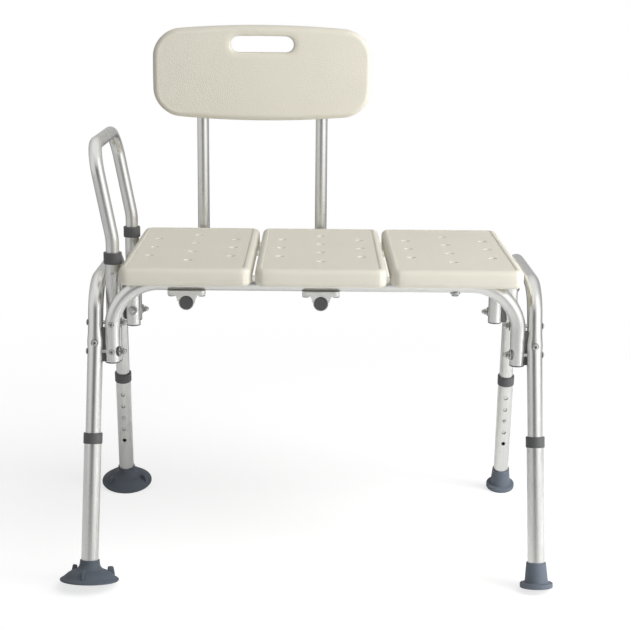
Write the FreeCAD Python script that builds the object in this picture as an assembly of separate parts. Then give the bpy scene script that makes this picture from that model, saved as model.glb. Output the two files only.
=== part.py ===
import FreeCAD, Part
import math
import os
from functools import cache

# A transfer bench: a bath seat of three moulded panels that straddles the rim of a tub,
# on two bent end frames with telescoping legs, with a back rest and a side handle that pull out.
# Millimetres, X to the right as seen from the front, Y from the front to the back rest, Z up,
# with the floor at Z = 0 and the origin below the middle of the whole bench.

Vector = FreeCAD.Vector

# Driving dimensions: tubes
frame_tube = 25.4
frame_wall = 1.5
leg_tube = 28.6
inner_tube = 22.2
inner_wall = 1.3
slide_clearance = 0.08

# Driving dimensions: seat
seat_width = 660.4
seat_depth = 400.0
seat_top = 533.0
seat_thickness = 30.5
seat_offset = 9.0
panel_gap = 6.0
panel_count = 3
panel_corner = 17.0
panel_top_round = 9.5
panel_bottom_round = 9.0
panel_inset = 12.0
panel_inset_depth = 0.7
panel_wall = 2.6
groove_clearance = 0.2
drain_hole = 6.0
drain_sink = 14.5
drain_sink_depth = 3.2
drain_column_shares = (-0.32, 0.0, 0.32)
drain_row_shares = (-0.30, -0.10, 0.10, 0.30)

# Driving dimensions: end frames and legs
leg_gap = 2.6
bar_drop = 6.0
bar_bend = 60.0
leg_crossing_rise = 7.8
leg_splay = math.radians(13.0)
side_splay = math.radians(1.0)
splay_bend = 300.0
cross_screw_rise = 16.0
inner_leg_tail = 37.0
lower_leg_end_height = 19.0
leg_collar_top = 251.0
leg_collar_length = 18.0
leg_collar_outer = 31.6
collar_lip = 2.2
collar_chamfer = 1.0
hole_pitch = 25.4
hole_count = 5
button_hole_index = 2
leg_button_drop = 91.5
side_hole_count = 6

# Driving dimensions: rails, bolts and spacers
rail_overhang = 7.8
rail_inset = 46.0
rail_sink = 2.0
rail_bend = 80.0
rail_end_margin = 18.0
upper_bolt_drop = 70.0
bolt_spacing = 47.0
spacer_length = 57.0
spacer_width = 10.0
spacer_depth = 12.0
bolt_shank = 6.0
bolt_clearance = 0.15
bolt_head = 10.4
bolt_head_height = 2.8
cup_washer = 17.0
cup_washer_height = 1.8
nut_across_flats = 10.0
nut_height = 5.0
nut_dome = 8.4
nut_dome_height = 5.0
nut_thread_depth = 7.0
screw_head = 9.6
screw_head_height = 2.2
recess_length = 5.0
recess_width = 1.2
recess_depth = 1.2

# Driving dimensions: side handle and its sockets
socket_gap = 0.6
socket_tail = 4.0
socket_stand = 12.5
socket_collar_length = 19.0
socket_collar_outer = 30.6
upper_crossing_gap = 3.0
lower_crossing_gap = 1.0
socket_button_drop = 34.0
handle_end_gap = 10.0
handle_lean_rise = 22.0
handle_lean_bend = 200.0
handle_rise = 154.0
handle_lean = math.radians(10.8)
handle_corner_bend = 90.0

# Driving dimensions: back rest and its receivers
back_tube_gap = 25.0
back_tube_bend = 50.0
back_tube_top_drop = 41.0
back_insert_length = 206.0
receiver_overhang = 12.0
receiver_button_inset = 34.0
bracket_plate = 6.0
bracket_length = 62.0
bracket_width = 30.0
bracket_hug = 1.5
bracket_screw_spread = 25.0
saddle_top = 36.0
saddle_bottom = 29.0
saddle_waist = 30.5
saddle_drop = 10.0
seat_bolt_head_height = 4.0
seat_bolt_engagement = 9.0
back_panel_width = 403.0
back_panel_height = 174.0
back_panel_gap = 200.5
back_panel_stand = 26.0
back_panel_thickness = 28.0
back_panel_corner = 46.0
back_panel_crown = 11.0
back_panel_side_crown = 2.0
back_panel_front_round = 9.5
back_panel_rear_round = 6.0
hand_slot_length = 116.0
hand_slot_height = 30.0
hand_slot_drop = 34.5
hand_slot_round = 4.0
back_screw_rise = 40.0
back_screw_grip = 8.0

# Driving dimensions: feet
cup_width = 97.8
cup_height = 34.5
cup_rim_height = 2.6
cup_ring = 7.0
cup_hollow_depth = 5.0
cup_bell = ((43.0, 6.3), (35.7, 12.6), (30.0, 15.9), (24.0, 18.2), (19.5, 21.6), (17.2, 26.0))
cup_neck_height = 30.5
foot_neck = 32.8
tab_count = 3
tab_inner_radius = 30.0
tab_outer_radius = 43.0
tab_thickness = 3.6
tab_bottom = 4.0
tab_shoulder = 10.0
tab_top = 22.0
tab_draft = 1.5
tab_corner = 1.2
tab_front_turn = math.radians(22.0)
tab_rear_turn = math.radians(-20.0)
tip_width = 54.6
tip_height = 42.0
tip_flange_height = 8.2
tip_flange_round = 2.0
tip_cone_foot = 39.4
tip_cone_start = 4.0

# Driving dimensions: plugs and snap clips
plug_flange = 25.2
receiver_plug_flange = 22.8
plug_flange_height = 2.0
plug_insert_length = 11.0
button_width = 6.4
button_hole = 7.0
button_proud = 2.4
button_flange = 8.6
button_flange_height = 0.9
clip_width = 6.0
clip_thickness = 0.7
clip_arm = 26.0
clip_wall_gap = 0.4
clip_arm_gap = 0.4
clip_button_share = 0.2

# Worked-out sizes
frame_radius = frame_tube / 2
frame_bore = frame_radius - frame_wall
leg_radius = leg_tube / 2
leg_bore = frame_radius + slide_clearance
inner_radius = inner_tube / 2
inner_bore = inner_radius - inner_wall
receiver_bore = inner_radius + slide_clearance
panel_width = (seat_width - panel_gap * (panel_count - 1)) / panel_count
panel_pitch = panel_width + panel_gap
seat_bottom = seat_top - seat_thickness
rail_half_width = seat_width / 2 + rail_overhang
rail_reach = seat_depth / 2 - rail_inset
rail_height = seat_bottom - rail_sink
rail_top = rail_height + frame_radius
rail_bottom = rail_height - frame_radius
upper_bolt_height = rail_height - upper_bolt_drop
lower_bolt_height = upper_bolt_height - bolt_spacing
rail_end_height = lower_bolt_height - rail_end_margin
spacer_top = rail_end_height + spacer_length
bar_height = rail_height - bar_drop
frame_half_width = rail_half_width + frame_tube + leg_gap
cross_screw_height = lower_bolt_height + cross_screw_rise
foot_reach = rail_reach + (cross_screw_height + leg_crossing_rise) * math.tan(leg_splay)
button_height = leg_collar_top - leg_button_drop
inner_leg_end_height = button_height - inner_leg_tail
socket_reach = rail_reach - frame_tube - socket_gap
socket_bottom = rail_end_height - socket_tail
socket_upper_screw = upper_bolt_height + bolt_shank + upper_crossing_gap
socket_lower_screw = lower_bolt_height + bolt_shank + lower_crossing_gap
socket_collar_top = seat_top + socket_stand
socket_button_height = socket_collar_top - socket_button_drop
handle_end_height = socket_upper_screw + handle_end_gap
handle_lean_height = socket_collar_top + handle_lean_rise
handle_top_height = handle_lean_height + handle_rise
receiver_height = rail_height - frame_tube - bracket_plate
receiver_reach = rail_reach + receiver_overhang
receiver_button_reach = rail_reach - receiver_button_inset
back_insert_end = receiver_reach - back_insert_length
back_tube_reach = seat_depth / 2 + back_tube_gap
back_panel_front = back_tube_reach - back_panel_stand
back_panel_bottom = seat_top + back_panel_gap
back_panel_top = back_panel_bottom + back_panel_height
back_tube_top = back_panel_top - back_tube_top_drop
hand_slot_middle = back_panel_top - hand_slot_drop
handle_run = (handle_top_height - handle_lean_height) * math.tan(handle_lean)
bolt_hole_radius = bolt_shank / 2 + bolt_clearance
bench_shift = (cup_width - tip_width) / 4

LEFT, RIGHT = -1, 1
FRONT, REAR = -1, 1
SIDES = {"left": LEFT, "right": RIGHT}
ENDS = {"front": FRONT, "rear": REAR}
PANELS = {"left": LEFT, "centre": 0, "right": RIGHT}
UP = Vector(0, 0, 1)
ACROSS = Vector(1, 0, 0)
AWAY = Vector(0, 1, 0)


# Basic forms

def rod(start, end, radius):
    """A solid round bar between two points."""
    run = end - start
    return Part.makeCylinder(radius, run.Length, start, run)


def bent_path(points, bends):
    """A wire through the points, with each inner corner rounded to its bend radius."""
    edges = []
    last = points[0]
    for before, corner, after, bend in zip(points, points[1:], points[2:], bends):
        into = (corner - before).normalize()
        out = (after - corner).normalize()
        turn = into.getAngle(out)
        run = bend * math.tan(turn / 2)
        inward = (out - into).normalize()
        first = corner - into * run
        middle = corner + inward * (bend / math.cos(turn / 2) - bend)
        second = corner + out * run
        edges.append(Part.makeLine(last, first))
        edges.append(Part.Arc(first, middle, second).toShape())
        last = second
    edges.append(Part.makeLine(last, points[-1]))
    return Part.Wire(edges)


def bent_bar(path, radius):
    """A solid round bar swept along a wire."""
    first = path.Edges[0]
    start = first.valueAt(first.FirstParameter)
    heading = first.tangentAt(first.FirstParameter)
    profile = Part.Wire(Part.makeCircle(radius, start, heading))
    return path.makePipeShell([profile], True, False)


def bent_tube(path, outer, bore):
    """A round tube swept along a wire, open at both ends."""
    return bent_bar(path, outer).cut(bent_bar(path, bore))


def straight_tube(start, end, outer, bore):
    """A straight round tube, open at both ends."""
    return rod(start, end, outer).cut(rod(start, end, bore))


def hexagon(start, heading, across_flats, height):
    """A hexagonal prism that stands on a point."""
    corner = across_flats / 2 / math.cos(math.pi / 6)
    ring = []
    for index in range(6):
        angle = index * math.pi / 3
        ring.append(Vector(corner * math.cos(angle), corner * math.sin(angle), 0))
    ring.append(ring[0])
    prism = Part.Face(Part.makePolygon(ring)).extrude(UP * height)
    prism.Placement = FreeCAD.Placement(start, FreeCAD.Rotation(UP, heading))
    return prism


def turned(profile, start, heading):
    """A solid turned from a closed profile in the XZ plane, set on a point along a heading."""
    solid = Part.Face(Part.Wire(profile)).revolve(Vector(0, 0, 0), UP, 360)
    solid.Placement = FreeCAD.Placement(start, FreeCAD.Rotation(UP, heading))
    return solid


def outline(points):
    """Straight edges that join the (radius, height) points into a closed profile."""
    corners = [Vector(radius, 0, height) for radius, height in points]
    corners.append(corners[0])
    return [Part.makeLine(a, b) for a, b in zip(corners, corners[1:])]


def placed(local, middle, outward, upward):
    """A copy of a shape whose X axis is turned outward and whose Z axis is turned upward."""
    side = upward.cross(outward)
    frame = FreeCAD.Matrix(
        outward.x, side.x, upward.x, middle.x,
        outward.y, side.y, upward.y, middle.y,
        outward.z, side.z, upward.z, middle.z,
        0, 0, 0, 1)
    copy = local.copy()
    copy.Placement = FreeCAD.Placement(frame)
    return copy


def joined(shapes):
    """All the shapes fused into one solid."""
    return shapes[0].fuse(shapes[1:]).removeSplitter()


# Reference points of the frame

def leg_point(side, end, height):
    """A point on a leg's centreline, which leans out to the front or rear and a little sideways."""
    spread = max(0, cross_screw_height - height) * math.tan(side_splay)
    reach = foot_reach - height * math.tan(leg_splay)
    return Vector(side * (frame_half_width + spread), end * reach, height)


def leg_axis(side, end):
    """The direction up the straight lower part of a leg."""
    return (leg_point(side, end, cross_screw_height) - leg_point(side, end, 0)).normalize()


def inboard(side, end):
    """The direction square to a lower leg that faces the middle of the bench, front to rear."""
    axis = leg_axis(side, end)
    inward = AWAY * -end
    return (inward - axis * inward.dot(axis)).normalize()


def outboard(side, end):
    """The direction square to a lower leg that faces the side of the bench."""
    axis = leg_axis(side, end)
    return axis.cross(inboard(side, end)) * (side * end)


def panel_middle(place):
    """The middle of a seat panel, across the bench."""
    return seat_offset + place * panel_pitch


@cache
def end_frame_path(side):
    """The centreline of an end frame: up the front leg, along the bar and down the rear leg."""
    heights = (inner_leg_end_height, cross_screw_height, bar_height)
    points = [leg_point(side, FRONT, height) for height in heights]
    points += [leg_point(side, REAR, height) for height in reversed(heights)]
    return bent_path(points, (splay_bend, bar_bend, bar_bend, splay_bend))


@cache
def end_frame_bar(side):
    """The outer solid of an end frame, which shapes whatever bears on it."""
    return bent_bar(end_frame_path(side), frame_radius)


@cache
def rail_path(end):
    """The centreline of a rail and its two uprights."""
    reach = end * rail_reach
    points = [
        Vector(-rail_half_width, reach, rail_end_height),
        Vector(-rail_half_width, reach, rail_height),
        Vector(rail_half_width, reach, rail_height),
        Vector(rail_half_width, reach, rail_end_height)]
    return bent_path(points, (rail_bend, rail_bend))


@cache
def rail_bar(end):
    """The outer solid of a rail, which shapes whatever bears on it."""
    return bent_bar(rail_path(end), frame_radius)


# Fasteners

def pan_head(seat, heading, width, height):
    """A low round head with a crossed recess, standing on its seat point."""
    radius = width / 2
    head = rod(seat - heading * height, seat + heading * height, radius)
    rim = [edge for edge in head.Edges if edge.CenterOfMass.isEqual(seat + heading * height, height / 2)]
    head = head.makeFillet(height / 2, rim[:1])
    level = abs(heading.z) < 0.5
    upward = UP if level else ACROSS
    slot = Part.makeBox(recess_depth * 2, recess_length, recess_width,
                        Vector(-recess_depth, -recess_length / 2, -recess_width / 2))
    post = Part.makeBox(recess_depth * 2, recess_width, recess_length,
                        Vector(-recess_depth, -recess_width / 2, -recess_length / 2))
    for cutter in (slot, post):
        head = head.cut(placed(cutter, seat + heading * height, heading, upward))
    return head


def dome_nut(seat, heading):
    """A hexagonal nut with a domed cap and a blind thread hole."""
    radius = nut_dome / 2
    dome = rod(seat, seat + heading * (nut_height + nut_dome_height), radius)
    tip = seat + heading * (nut_height + nut_dome_height)
    rim = [edge for edge in dome.Edges if edge.CenterOfMass.isEqual(tip, nut_dome_height / 2)]
    dome = dome.makeFillet(radius - bolt_clearance * 4, rim[:1])
    body = hexagon(seat, heading, nut_across_flats, nut_height).fuse(dome)
    thread = rod(seat - heading * nut_height, seat + heading * nut_thread_depth, bolt_shank / 2)
    return body.cut(thread)


def bolt_line(side, end, height):
    """Where a frame bolt enters the leg and where it leaves the rail, on its own level line."""
    middle = leg_point(side, end, height)
    outer = middle + ACROSS * (side * frame_radius)
    inner = Vector(side * (rail_half_width - frame_radius), middle.y, height)
    return outer, inner


def frame_bolt(side, end, height):
    """A bolt across the leg, the spacer and the rail, with its head hugging the leg."""
    outer, inner = bolt_line(side, end, height)
    heading = ACROSS * side
    head = pan_head(outer, heading, bolt_head, bolt_head_height).cut(end_frame_bar(side))
    stop = inner - heading * (cup_washer_height + nut_thread_depth - bolt_clearance)
    return joined([head, rod(stop, outer + heading * (bolt_head_height / 4), bolt_shank / 2)])


def frame_cup_washer(side, end, height):
    """A washer whose underside is hollowed to the rail's curve."""
    inner = bolt_line(side, end, height)[1]
    heading = ACROSS * -side
    disc = rod(inner - heading * cup_washer_height, inner + heading * cup_washer_height, cup_washer / 2)
    hole = rod(inner - heading * cup_washer, inner + heading * cup_washer, bolt_hole_radius)
    return disc.cut(rail_bar(end)).cut(hole)


def frame_dome_nut(side, end, height):
    """The nut on the inner side of a rail."""
    inner = bolt_line(side, end, height)[1]
    return dome_nut(inner - ACROSS * (side * cup_washer_height), ACROSS * -side)


def leg_cross_screw(side, end):
    """A screw through the leg at its bend, with its head facing the front or the rear."""
    heading = AWAY * end
    middle = leg_point(side, end, cross_screw_height)
    seat = middle + heading * frame_radius
    head = pan_head(seat, heading, screw_head, screw_head_height).cut(end_frame_bar(side))
    stop = middle - heading * (frame_radius + nut_thread_depth)
    return joined([head, rod(stop, seat + heading * (screw_head_height / 4), bolt_shank / 2)])


def leg_cross_nut(side, end):
    """The nut of the leg's cross screw, shaped to the tube where it bears on it."""
    heading = AWAY * end
    middle = leg_point(side, end, cross_screw_height)
    seat = middle - heading * frame_radius
    bearing = rod(seat + heading * nut_height, seat, nut_across_flats / 2)
    hole = rod(seat + heading * nut_height, seat - heading * nut_height, bolt_shank / 2)
    return joined([bearing.cut(hole), dome_nut(seat, -heading)]).cut(end_frame_bar(side))


def socket_screw(end, height):
    """A screw through the rail's upright and the handle socket behind it."""
    heading = AWAY * end
    seat = Vector(-rail_half_width, end * (rail_reach + frame_radius), height)
    head = pan_head(seat, heading, screw_head, screw_head_height).cut(rail_bar(end))
    stop = Vector(-rail_half_width, end * (socket_reach - frame_radius - nut_thread_depth), height)
    return joined([head, rod(stop, seat + heading * (screw_head_height / 4), bolt_shank / 2)])


def socket_nut(end, height):
    """The nut and its hollowed seat on the inner side of a handle socket."""
    heading = AWAY * -end
    seat = Vector(-rail_half_width, end * (socket_reach - frame_radius), height)
    bearing = rod(seat - heading * cup_washer_height, seat, cup_washer / 2)
    hole = rod(seat - heading * nut_height, seat + heading * nut_height, bolt_shank / 2)
    bearing = bearing.cut(socket_column(end)).cut(hole)
    return joined([bearing, dome_nut(seat, heading)])


# Frame

def end_frame(side):
    """One bent tube: two splayed legs and the bar between them, drilled for its fasteners."""
    tube = end_frame_bar(side).cut(bent_bar(end_frame_path(side), frame_bore))
    for end in ENDS.values():
        for height in (upper_bolt_height, lower_bolt_height):
            middle = leg_point(side, end, height)
            reach = ACROSS * frame_tube
            tube = tube.cut(rod(middle - reach, middle + reach, bolt_hole_radius))
        middle = leg_point(side, end, cross_screw_height)
        tube = tube.cut(rod(middle - AWAY * frame_tube, middle + AWAY * frame_tube, bolt_hole_radius))
        hole = button_middle(side, end)
        radius = button_width / 2 + slide_clearance
        tube = tube.cut(rod(hole, hole + inboard(side, end) * frame_tube, radius))
    return tube


def rail(end):
    """One bent tube across the bench that carries the seat, with its two uprights."""
    reach = end * rail_reach
    tube = rail_bar(end).cut(bent_bar(rail_path(end), frame_bore))
    for side in SIDES.values():
        for height in (upper_bolt_height, lower_bolt_height):
            outer, inner = bolt_line(side, end, height)
            tube = tube.cut(rod(inner - ACROSS * (side * frame_tube), outer, bolt_hole_radius))
    for height in (socket_upper_screw, socket_lower_screw):
        middle = Vector(-rail_half_width, reach, height)
        tube = tube.cut(rod(middle - AWAY * frame_tube, middle + AWAY * frame_tube, bolt_hole_radius))
    for across in seat_bolt_places():
        middle = Vector(across, reach, rail_height)
        tube = tube.cut(rod(middle - UP * frame_tube, middle + UP * frame_tube, bolt_hole_radius))
    return tube


def rail_spacer(side, end):
    """A moulded strip, hollowed on both faces, that keeps the leg and the rail apart."""
    middle = (frame_half_width + rail_half_width) / 2
    low = Vector(side * middle - spacer_depth / 2, end * rail_reach - spacer_width / 2, rail_end_height)
    strip = Part.makeBox(spacer_depth, spacer_width, spacer_top - rail_end_height, low)
    strip = strip.cut(end_frame_bar(side)).cut(rail_bar(end))
    for height in (upper_bolt_height, lower_bolt_height):
        outer, inner = bolt_line(side, end, height)
        strip = strip.cut(rod(inner, outer, bolt_hole_radius))
    return strip


def plug(mouth, heading, bore, flange):
    """A push-in cap for a tube's end, whose flange faces along the heading."""
    cap = rod(mouth, mouth + heading * plug_flange_height, flange / 2)
    face = mouth + heading * plug_flange_height
    rim = [edge for edge in cap.Edges if edge.CenterOfMass.isEqual(face, slide_clearance)]
    cap = cap.makeFillet(plug_flange_height / 2, rim[:1])
    insert = rod(mouth - heading * plug_insert_length, mouth, bore - slide_clearance)
    return joined([cap, insert])


def rail_end_plug(side, end):
    """The cap below a rail's upright."""
    mouth = Vector(side * rail_half_width, end * rail_reach, rail_end_height)
    return plug(mouth, -UP, frame_bore, plug_flange)


# Side handle sockets

def socket_column(end):
    """The outer solid of a handle socket."""
    low = Vector(-rail_half_width, end * socket_reach, socket_bottom)
    return rod(low, low + UP * (socket_collar_top - collar_lip - socket_bottom), frame_radius)


def handle_socket(end):
    """An upright tube beside the rail that holds one leg of the handle."""
    low = Vector(-rail_half_width, end * socket_reach, socket_bottom)
    top = Vector(-rail_half_width, end * socket_reach, socket_collar_top - collar_lip)
    tube = straight_tube(low, top, frame_radius, receiver_bore)
    for height in (socket_upper_screw, socket_lower_screw):
        middle = Vector(-rail_half_width, end * socket_reach, height)
        tube = tube.cut(rod(middle - AWAY * frame_tube, middle + AWAY * frame_tube, bolt_hole_radius))
    middle = Vector(-rail_half_width, end * socket_reach, socket_button_height)
    return tube.cut(rod(middle, middle + AWAY * (end * frame_tube), button_hole / 2))


def socket_plug(end):
    """The cap below a handle socket."""
    mouth = Vector(-rail_half_width, end * socket_reach, socket_bottom)
    return plug(mouth, -UP, receiver_bore, plug_flange)


def collar(top, heading, tube_radius, bore, outer, length):
    """A moulded ring round a tube's end, with a lip that closes in on the tube that slides in it."""
    edge = outer / 2
    ring = outline([
        (tube_radius, -length), (edge - collar_chamfer, -length), (edge, collar_chamfer - length),
        (edge, -collar_chamfer), (edge - collar_chamfer, 0), (bore, 0),
        (bore, -collar_lip), (tube_radius, -collar_lip)])
    return turned(ring, top, heading)


def socket_collar(end):
    """The collar at the mouth of a handle socket."""
    top = Vector(-rail_half_width, end * socket_reach, socket_collar_top)
    return collar(top, UP, frame_radius, receiver_bore, socket_collar_outer, socket_collar_length)


# Telescoping legs

def lower_leg(side, end):
    """The outer tube of a leg, with a row of height holes inboard and a staggered row outboard."""
    axis = leg_axis(side, end)
    low = leg_point(side, end, lower_leg_end_height)
    top = leg_point(side, end, leg_collar_top) - axis * collar_lip
    tube = straight_tube(low, top, leg_radius, leg_bore)
    middle = button_middle(side, end)
    for index in range(hole_count):
        point = middle - axis * ((index - button_hole_index) * hole_pitch)
        tube = tube.cut(rod(point, point + inboard(side, end) * leg_tube, button_hole / 2))
    for index in range(side_hole_count):
        point = middle - axis * ((index - button_hole_index) * hole_pitch - hole_pitch / 2)
        tube = tube.cut(rod(point, point + outboard(side, end) * leg_tube, button_hole / 2))
    return tube


def leg_collar(side, end):
    """The collar at the top of a lower leg."""
    top = leg_point(side, end, leg_collar_top)
    return collar(top, leg_axis(side, end), leg_radius, leg_bore, leg_collar_outer, leg_collar_length)


def foot_centre(side, end, width):
    """The middle of a foot's underside, so high that the inner edge of its slanted face meets the floor."""
    axis = leg_axis(side, end)
    slant = axis.getAngle(UP)
    return leg_point(side, end, width / 2 * math.sin(slant))


def on_leg(local, side, end, width):
    """A foot pushed onto its leg, and hollowed by the space that the leg's tube takes up in it."""
    axis = leg_axis(side, end)
    outward = (ACROSS - axis * ACROSS.dot(axis)).normalize()
    foot = placed(local, foot_centre(side, end, width), outward, axis)
    low = leg_point(side, end, lower_leg_end_height)
    return foot.cut(rod(low, low + axis * tip_height, leg_radius))


def cup_bell_body():
    """The round body of a suction cup: a soft bell with an S-shaped shoulder over a hollow underside."""
    radius = cup_width / 2
    hollow_edge = radius - cup_ring
    hollow_middle = Vector(hollow_edge / 2, 0, cup_hollow_depth * 3 / 4)
    rim = Vector(radius, 0, cup_rim_height)
    neck = Vector(foot_neck / 2, 0, cup_neck_height)
    shoulder = Part.BSplineCurve()
    shoulder.interpolate([rim] + [Vector(across, 0, height) for across, height in cup_bell] + [neck])
    top = Vector(foot_neck / 2, 0, cup_height)
    middle = Vector(0, 0, cup_height)
    hollow_top = Vector(0, 0, cup_hollow_depth)
    profile = [
        Part.Arc(hollow_top, hollow_middle, Vector(hollow_edge, 0, 0)).toShape(),
        Part.makeLine(Vector(hollow_edge, 0, 0), Vector(radius, 0, 0)),
        Part.makeLine(Vector(radius, 0, 0), rim),
        shoulder.toShape(),
        Part.makeLine(neck, top),
        Part.makeLine(top, middle),
        Part.makeLine(middle, hollow_top)]
    return turned(profile, Vector(0, 0, 0), UP)


def pull_tab(angle):
    """An upright ear on the bell, narrower at its top, that is pulled to let the cup go."""
    corners = [
        (tab_inner_radius, tab_bottom), (tab_outer_radius, tab_bottom), (tab_outer_radius, tab_shoulder),
        (tab_outer_radius - tab_draft * 2, tab_top), (tab_inner_radius + tab_draft / 2, tab_top)]
    ring = [Vector(across, -tab_thickness / 2, height) for across, height in corners + corners[:1]]
    tab = Part.Face(Part.makePolygon(ring)).extrude(AWAY * tab_thickness)
    tips = [edge for edge in tab.Edges
            if abs(edge.tangentAt(edge.FirstParameter).y) > 0.5
            and edge.CenterOfMass.z > tab_top - tab_corner]
    tab = tab.makeFillet(tab_corner, tips)
    tab.rotate(Vector(0, 0, 0), UP, math.degrees(angle))
    return tab


def suction_foot(end):
    """A suction cup square to its leg, with a hollow underside and three pull tabs."""
    turn = tab_front_turn if end == FRONT else tab_rear_turn
    tabs = [pull_tab(turn + index * math.pi * 2 / tab_count) for index in range(tab_count)]
    return on_leg(joined([cup_bell_body()] + tabs), LEFT, end, cup_width)


def rubber_tip(end):
    """A ferrule square to its leg: a cone on a round flange with a flat face."""
    flange = Part.makeCylinder(tip_width / 2, tip_flange_height)
    rim = [edge for edge in flange.Edges
           if edge.CenterOfMass.isEqual(UP * tip_flange_height, slide_clearance)]
    flange = flange.makeFillet(tip_flange_round, rim[:1])
    cone = Part.makeCone(tip_cone_foot / 2, foot_neck / 2, tip_height - tip_cone_start, UP * tip_cone_start)
    return on_leg(joined([flange, cone]), RIGHT, end, tip_width)


# Snap clips

def button_middle(side, end):
    """The point on a leg's centreline level with its snap button."""
    return leg_point(side, end, button_height)


def snap_button(middle, outward, upward, bore, outer):
    """A round button with its flange and the spring arm under it."""
    radius = button_width / 2
    inside = bore - clip_wall_gap
    stem = Part.makeCylinder(radius, outer + button_proud - inside + button_flange_height,
                             Vector(inside - button_flange_height, 0, 0), ACROSS)
    tip = Vector(outer + button_proud, 0, 0)
    rim = [edge for edge in stem.Edges if edge.CenterOfMass.isEqual(tip, slide_clearance)]
    stem = stem.makeFillet(radius * 2 / 3, rim[:1])
    flange_start = inside - button_flange_height - clip_wall_gap * 2
    flange = Part.makeCylinder(button_flange / 2, button_flange_height, Vector(flange_start, 0, 0), ACROSS)
    post = Part.makeCylinder(radius, inside - flange_start, Vector(flange_start, 0, 0), ACROSS)
    arm = Part.makeBox(clip_thickness, clip_width, clip_arm,
                       Vector(flange_start - clip_thickness, -clip_width / 2, -clip_arm * clip_button_share))
    return placed(joined([stem, post, flange, arm]), middle, outward, upward)


def clip_spring(middle, outward, upward, bore):
    """The fixed half of a snap clip: a bow at the top and an arm that bears on the far wall."""
    near = bore - clip_wall_gap * 3 - button_flange_height - clip_thickness
    far = -bore + clip_wall_gap * 3 + clip_thickness
    top = clip_arm * (1 - clip_button_share) + clip_arm_gap
    half = (near - far) / 2
    centre = (near + far) / 2
    bend = half + clip_thickness
    outer_bow = Part.makeCylinder(bend, clip_width, Vector(centre, -clip_width / 2, top), AWAY)
    inner_bow = Part.makeCylinder(half, clip_width, Vector(centre, -clip_width / 2, top), AWAY)
    above = Part.makeBox(bend * 2, clip_width, bend, Vector(centre - bend, -clip_width / 2, top))
    bow = outer_bow.cut(inner_bow).common(above)
    arm = Part.makeBox(clip_thickness, clip_width, clip_arm,
                       Vector(far - clip_thickness, -clip_width / 2, top - clip_arm))
    return placed(joined([bow, arm]), middle, outward, upward)


def leg_button(side, end):
    """The button that locks a leg's height."""
    return snap_button(button_middle(side, end), inboard(side, end), leg_axis(side, end),
                       frame_bore, leg_radius)


def leg_clip(side, end):
    """The fixed half of a leg's snap clip."""
    return clip_spring(button_middle(side, end), inboard(side, end), leg_axis(side, end), frame_bore)


def handle_button(end):
    """The button that locks one leg of the handle in its socket."""
    middle = Vector(-rail_half_width, end * socket_reach, socket_button_height)
    return snap_button(middle, AWAY * end, UP, inner_bore, frame_radius)


def handle_clip(end):
    """The fixed half of a handle leg's snap clip."""
    middle = Vector(-rail_half_width, end * socket_reach, socket_button_height)
    return clip_spring(middle, AWAY * end, UP, inner_bore)


def back_button(place):
    """The button below a receiver that locks a back tube."""
    middle = Vector(panel_middle(place), receiver_button_reach, receiver_height)
    return snap_button(middle, -UP, -AWAY, inner_bore, frame_radius)


def back_clip(place):
    """The fixed half of a back tube's snap clip."""
    middle = Vector(panel_middle(place), receiver_button_reach, receiver_height)
    return clip_spring(middle, -UP, -AWAY, inner_bore)


# Side handle

def grab_handle():
    """A bent tube that rises from the sockets and leans away from the seat."""
    lean_across = -rail_half_width
    top_across = lean_across - handle_run
    points = []
    for end in (FRONT, REAR):
        reach = end * socket_reach
        points.append([
            Vector(lean_across, reach, handle_end_height),
            Vector(lean_across, reach, handle_lean_height),
            Vector(top_across, reach, handle_top_height)])
    points = points[0] + points[1][::-1]
    bends = (handle_lean_bend, handle_corner_bend, handle_corner_bend, handle_lean_bend)
    tube = bent_tube(bent_path(points, bends), inner_radius, inner_bore)
    for end in (FRONT, REAR):
        middle = Vector(lean_across, end * socket_reach, socket_button_height)
        hole = rod(middle, middle + AWAY * (end * frame_tube), button_width / 2 + slide_clearance)
        tube = tube.cut(hole)
    return tube


# Seat

def seat_bolt_places():
    """Where bolts come up through the rails: two beside each receiver and one at the last panel."""
    places = []
    for place in (LEFT, 0):
        places.append(panel_middle(place) - bracket_screw_spread)
        places.append(panel_middle(place) + bracket_screw_spread)
    places.append(panel_middle(RIGHT))
    return places


def drain_places():
    """Drain holes of one panel as shares of its width and depth: three columns of three, four, three."""
    places = []
    for column in drain_column_shares:
        rows = drain_row_shares
        if column:
            rows = [(low + high) / 2 for low, high in zip(rows, rows[1:])]
        for row in rows:
            places.append((column, row))
    return places


def rounded_block(length, depth, height, low, corner):
    """A block with rounded upright edges."""
    block = Part.makeBox(length, depth, height, low)
    uprights = [edge for edge in block.Edges if abs(edge.tangentAt(edge.FirstParameter).z) > 0.5]
    return block.makeFillet(corner, uprights)


def edges_at(shape, height):
    """The edges of a shape that lie in one level plane."""
    found = []
    for edge in shape.Edges:
        box = edge.BoundBox
        if abs(box.ZMin - height) < slide_clearance and abs(box.ZMax - height) < slide_clearance:
            found.append(edge)
    return found


def softened(block, top, bottom, inset):
    """A panel's block, or the space inset in it, with its upper and lower edges rounded."""
    block = block.makeFillet(panel_top_round - inset, edges_at(block, top))
    return block.makeFillet(panel_bottom_round - inset, edges_at(block, bottom))


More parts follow.
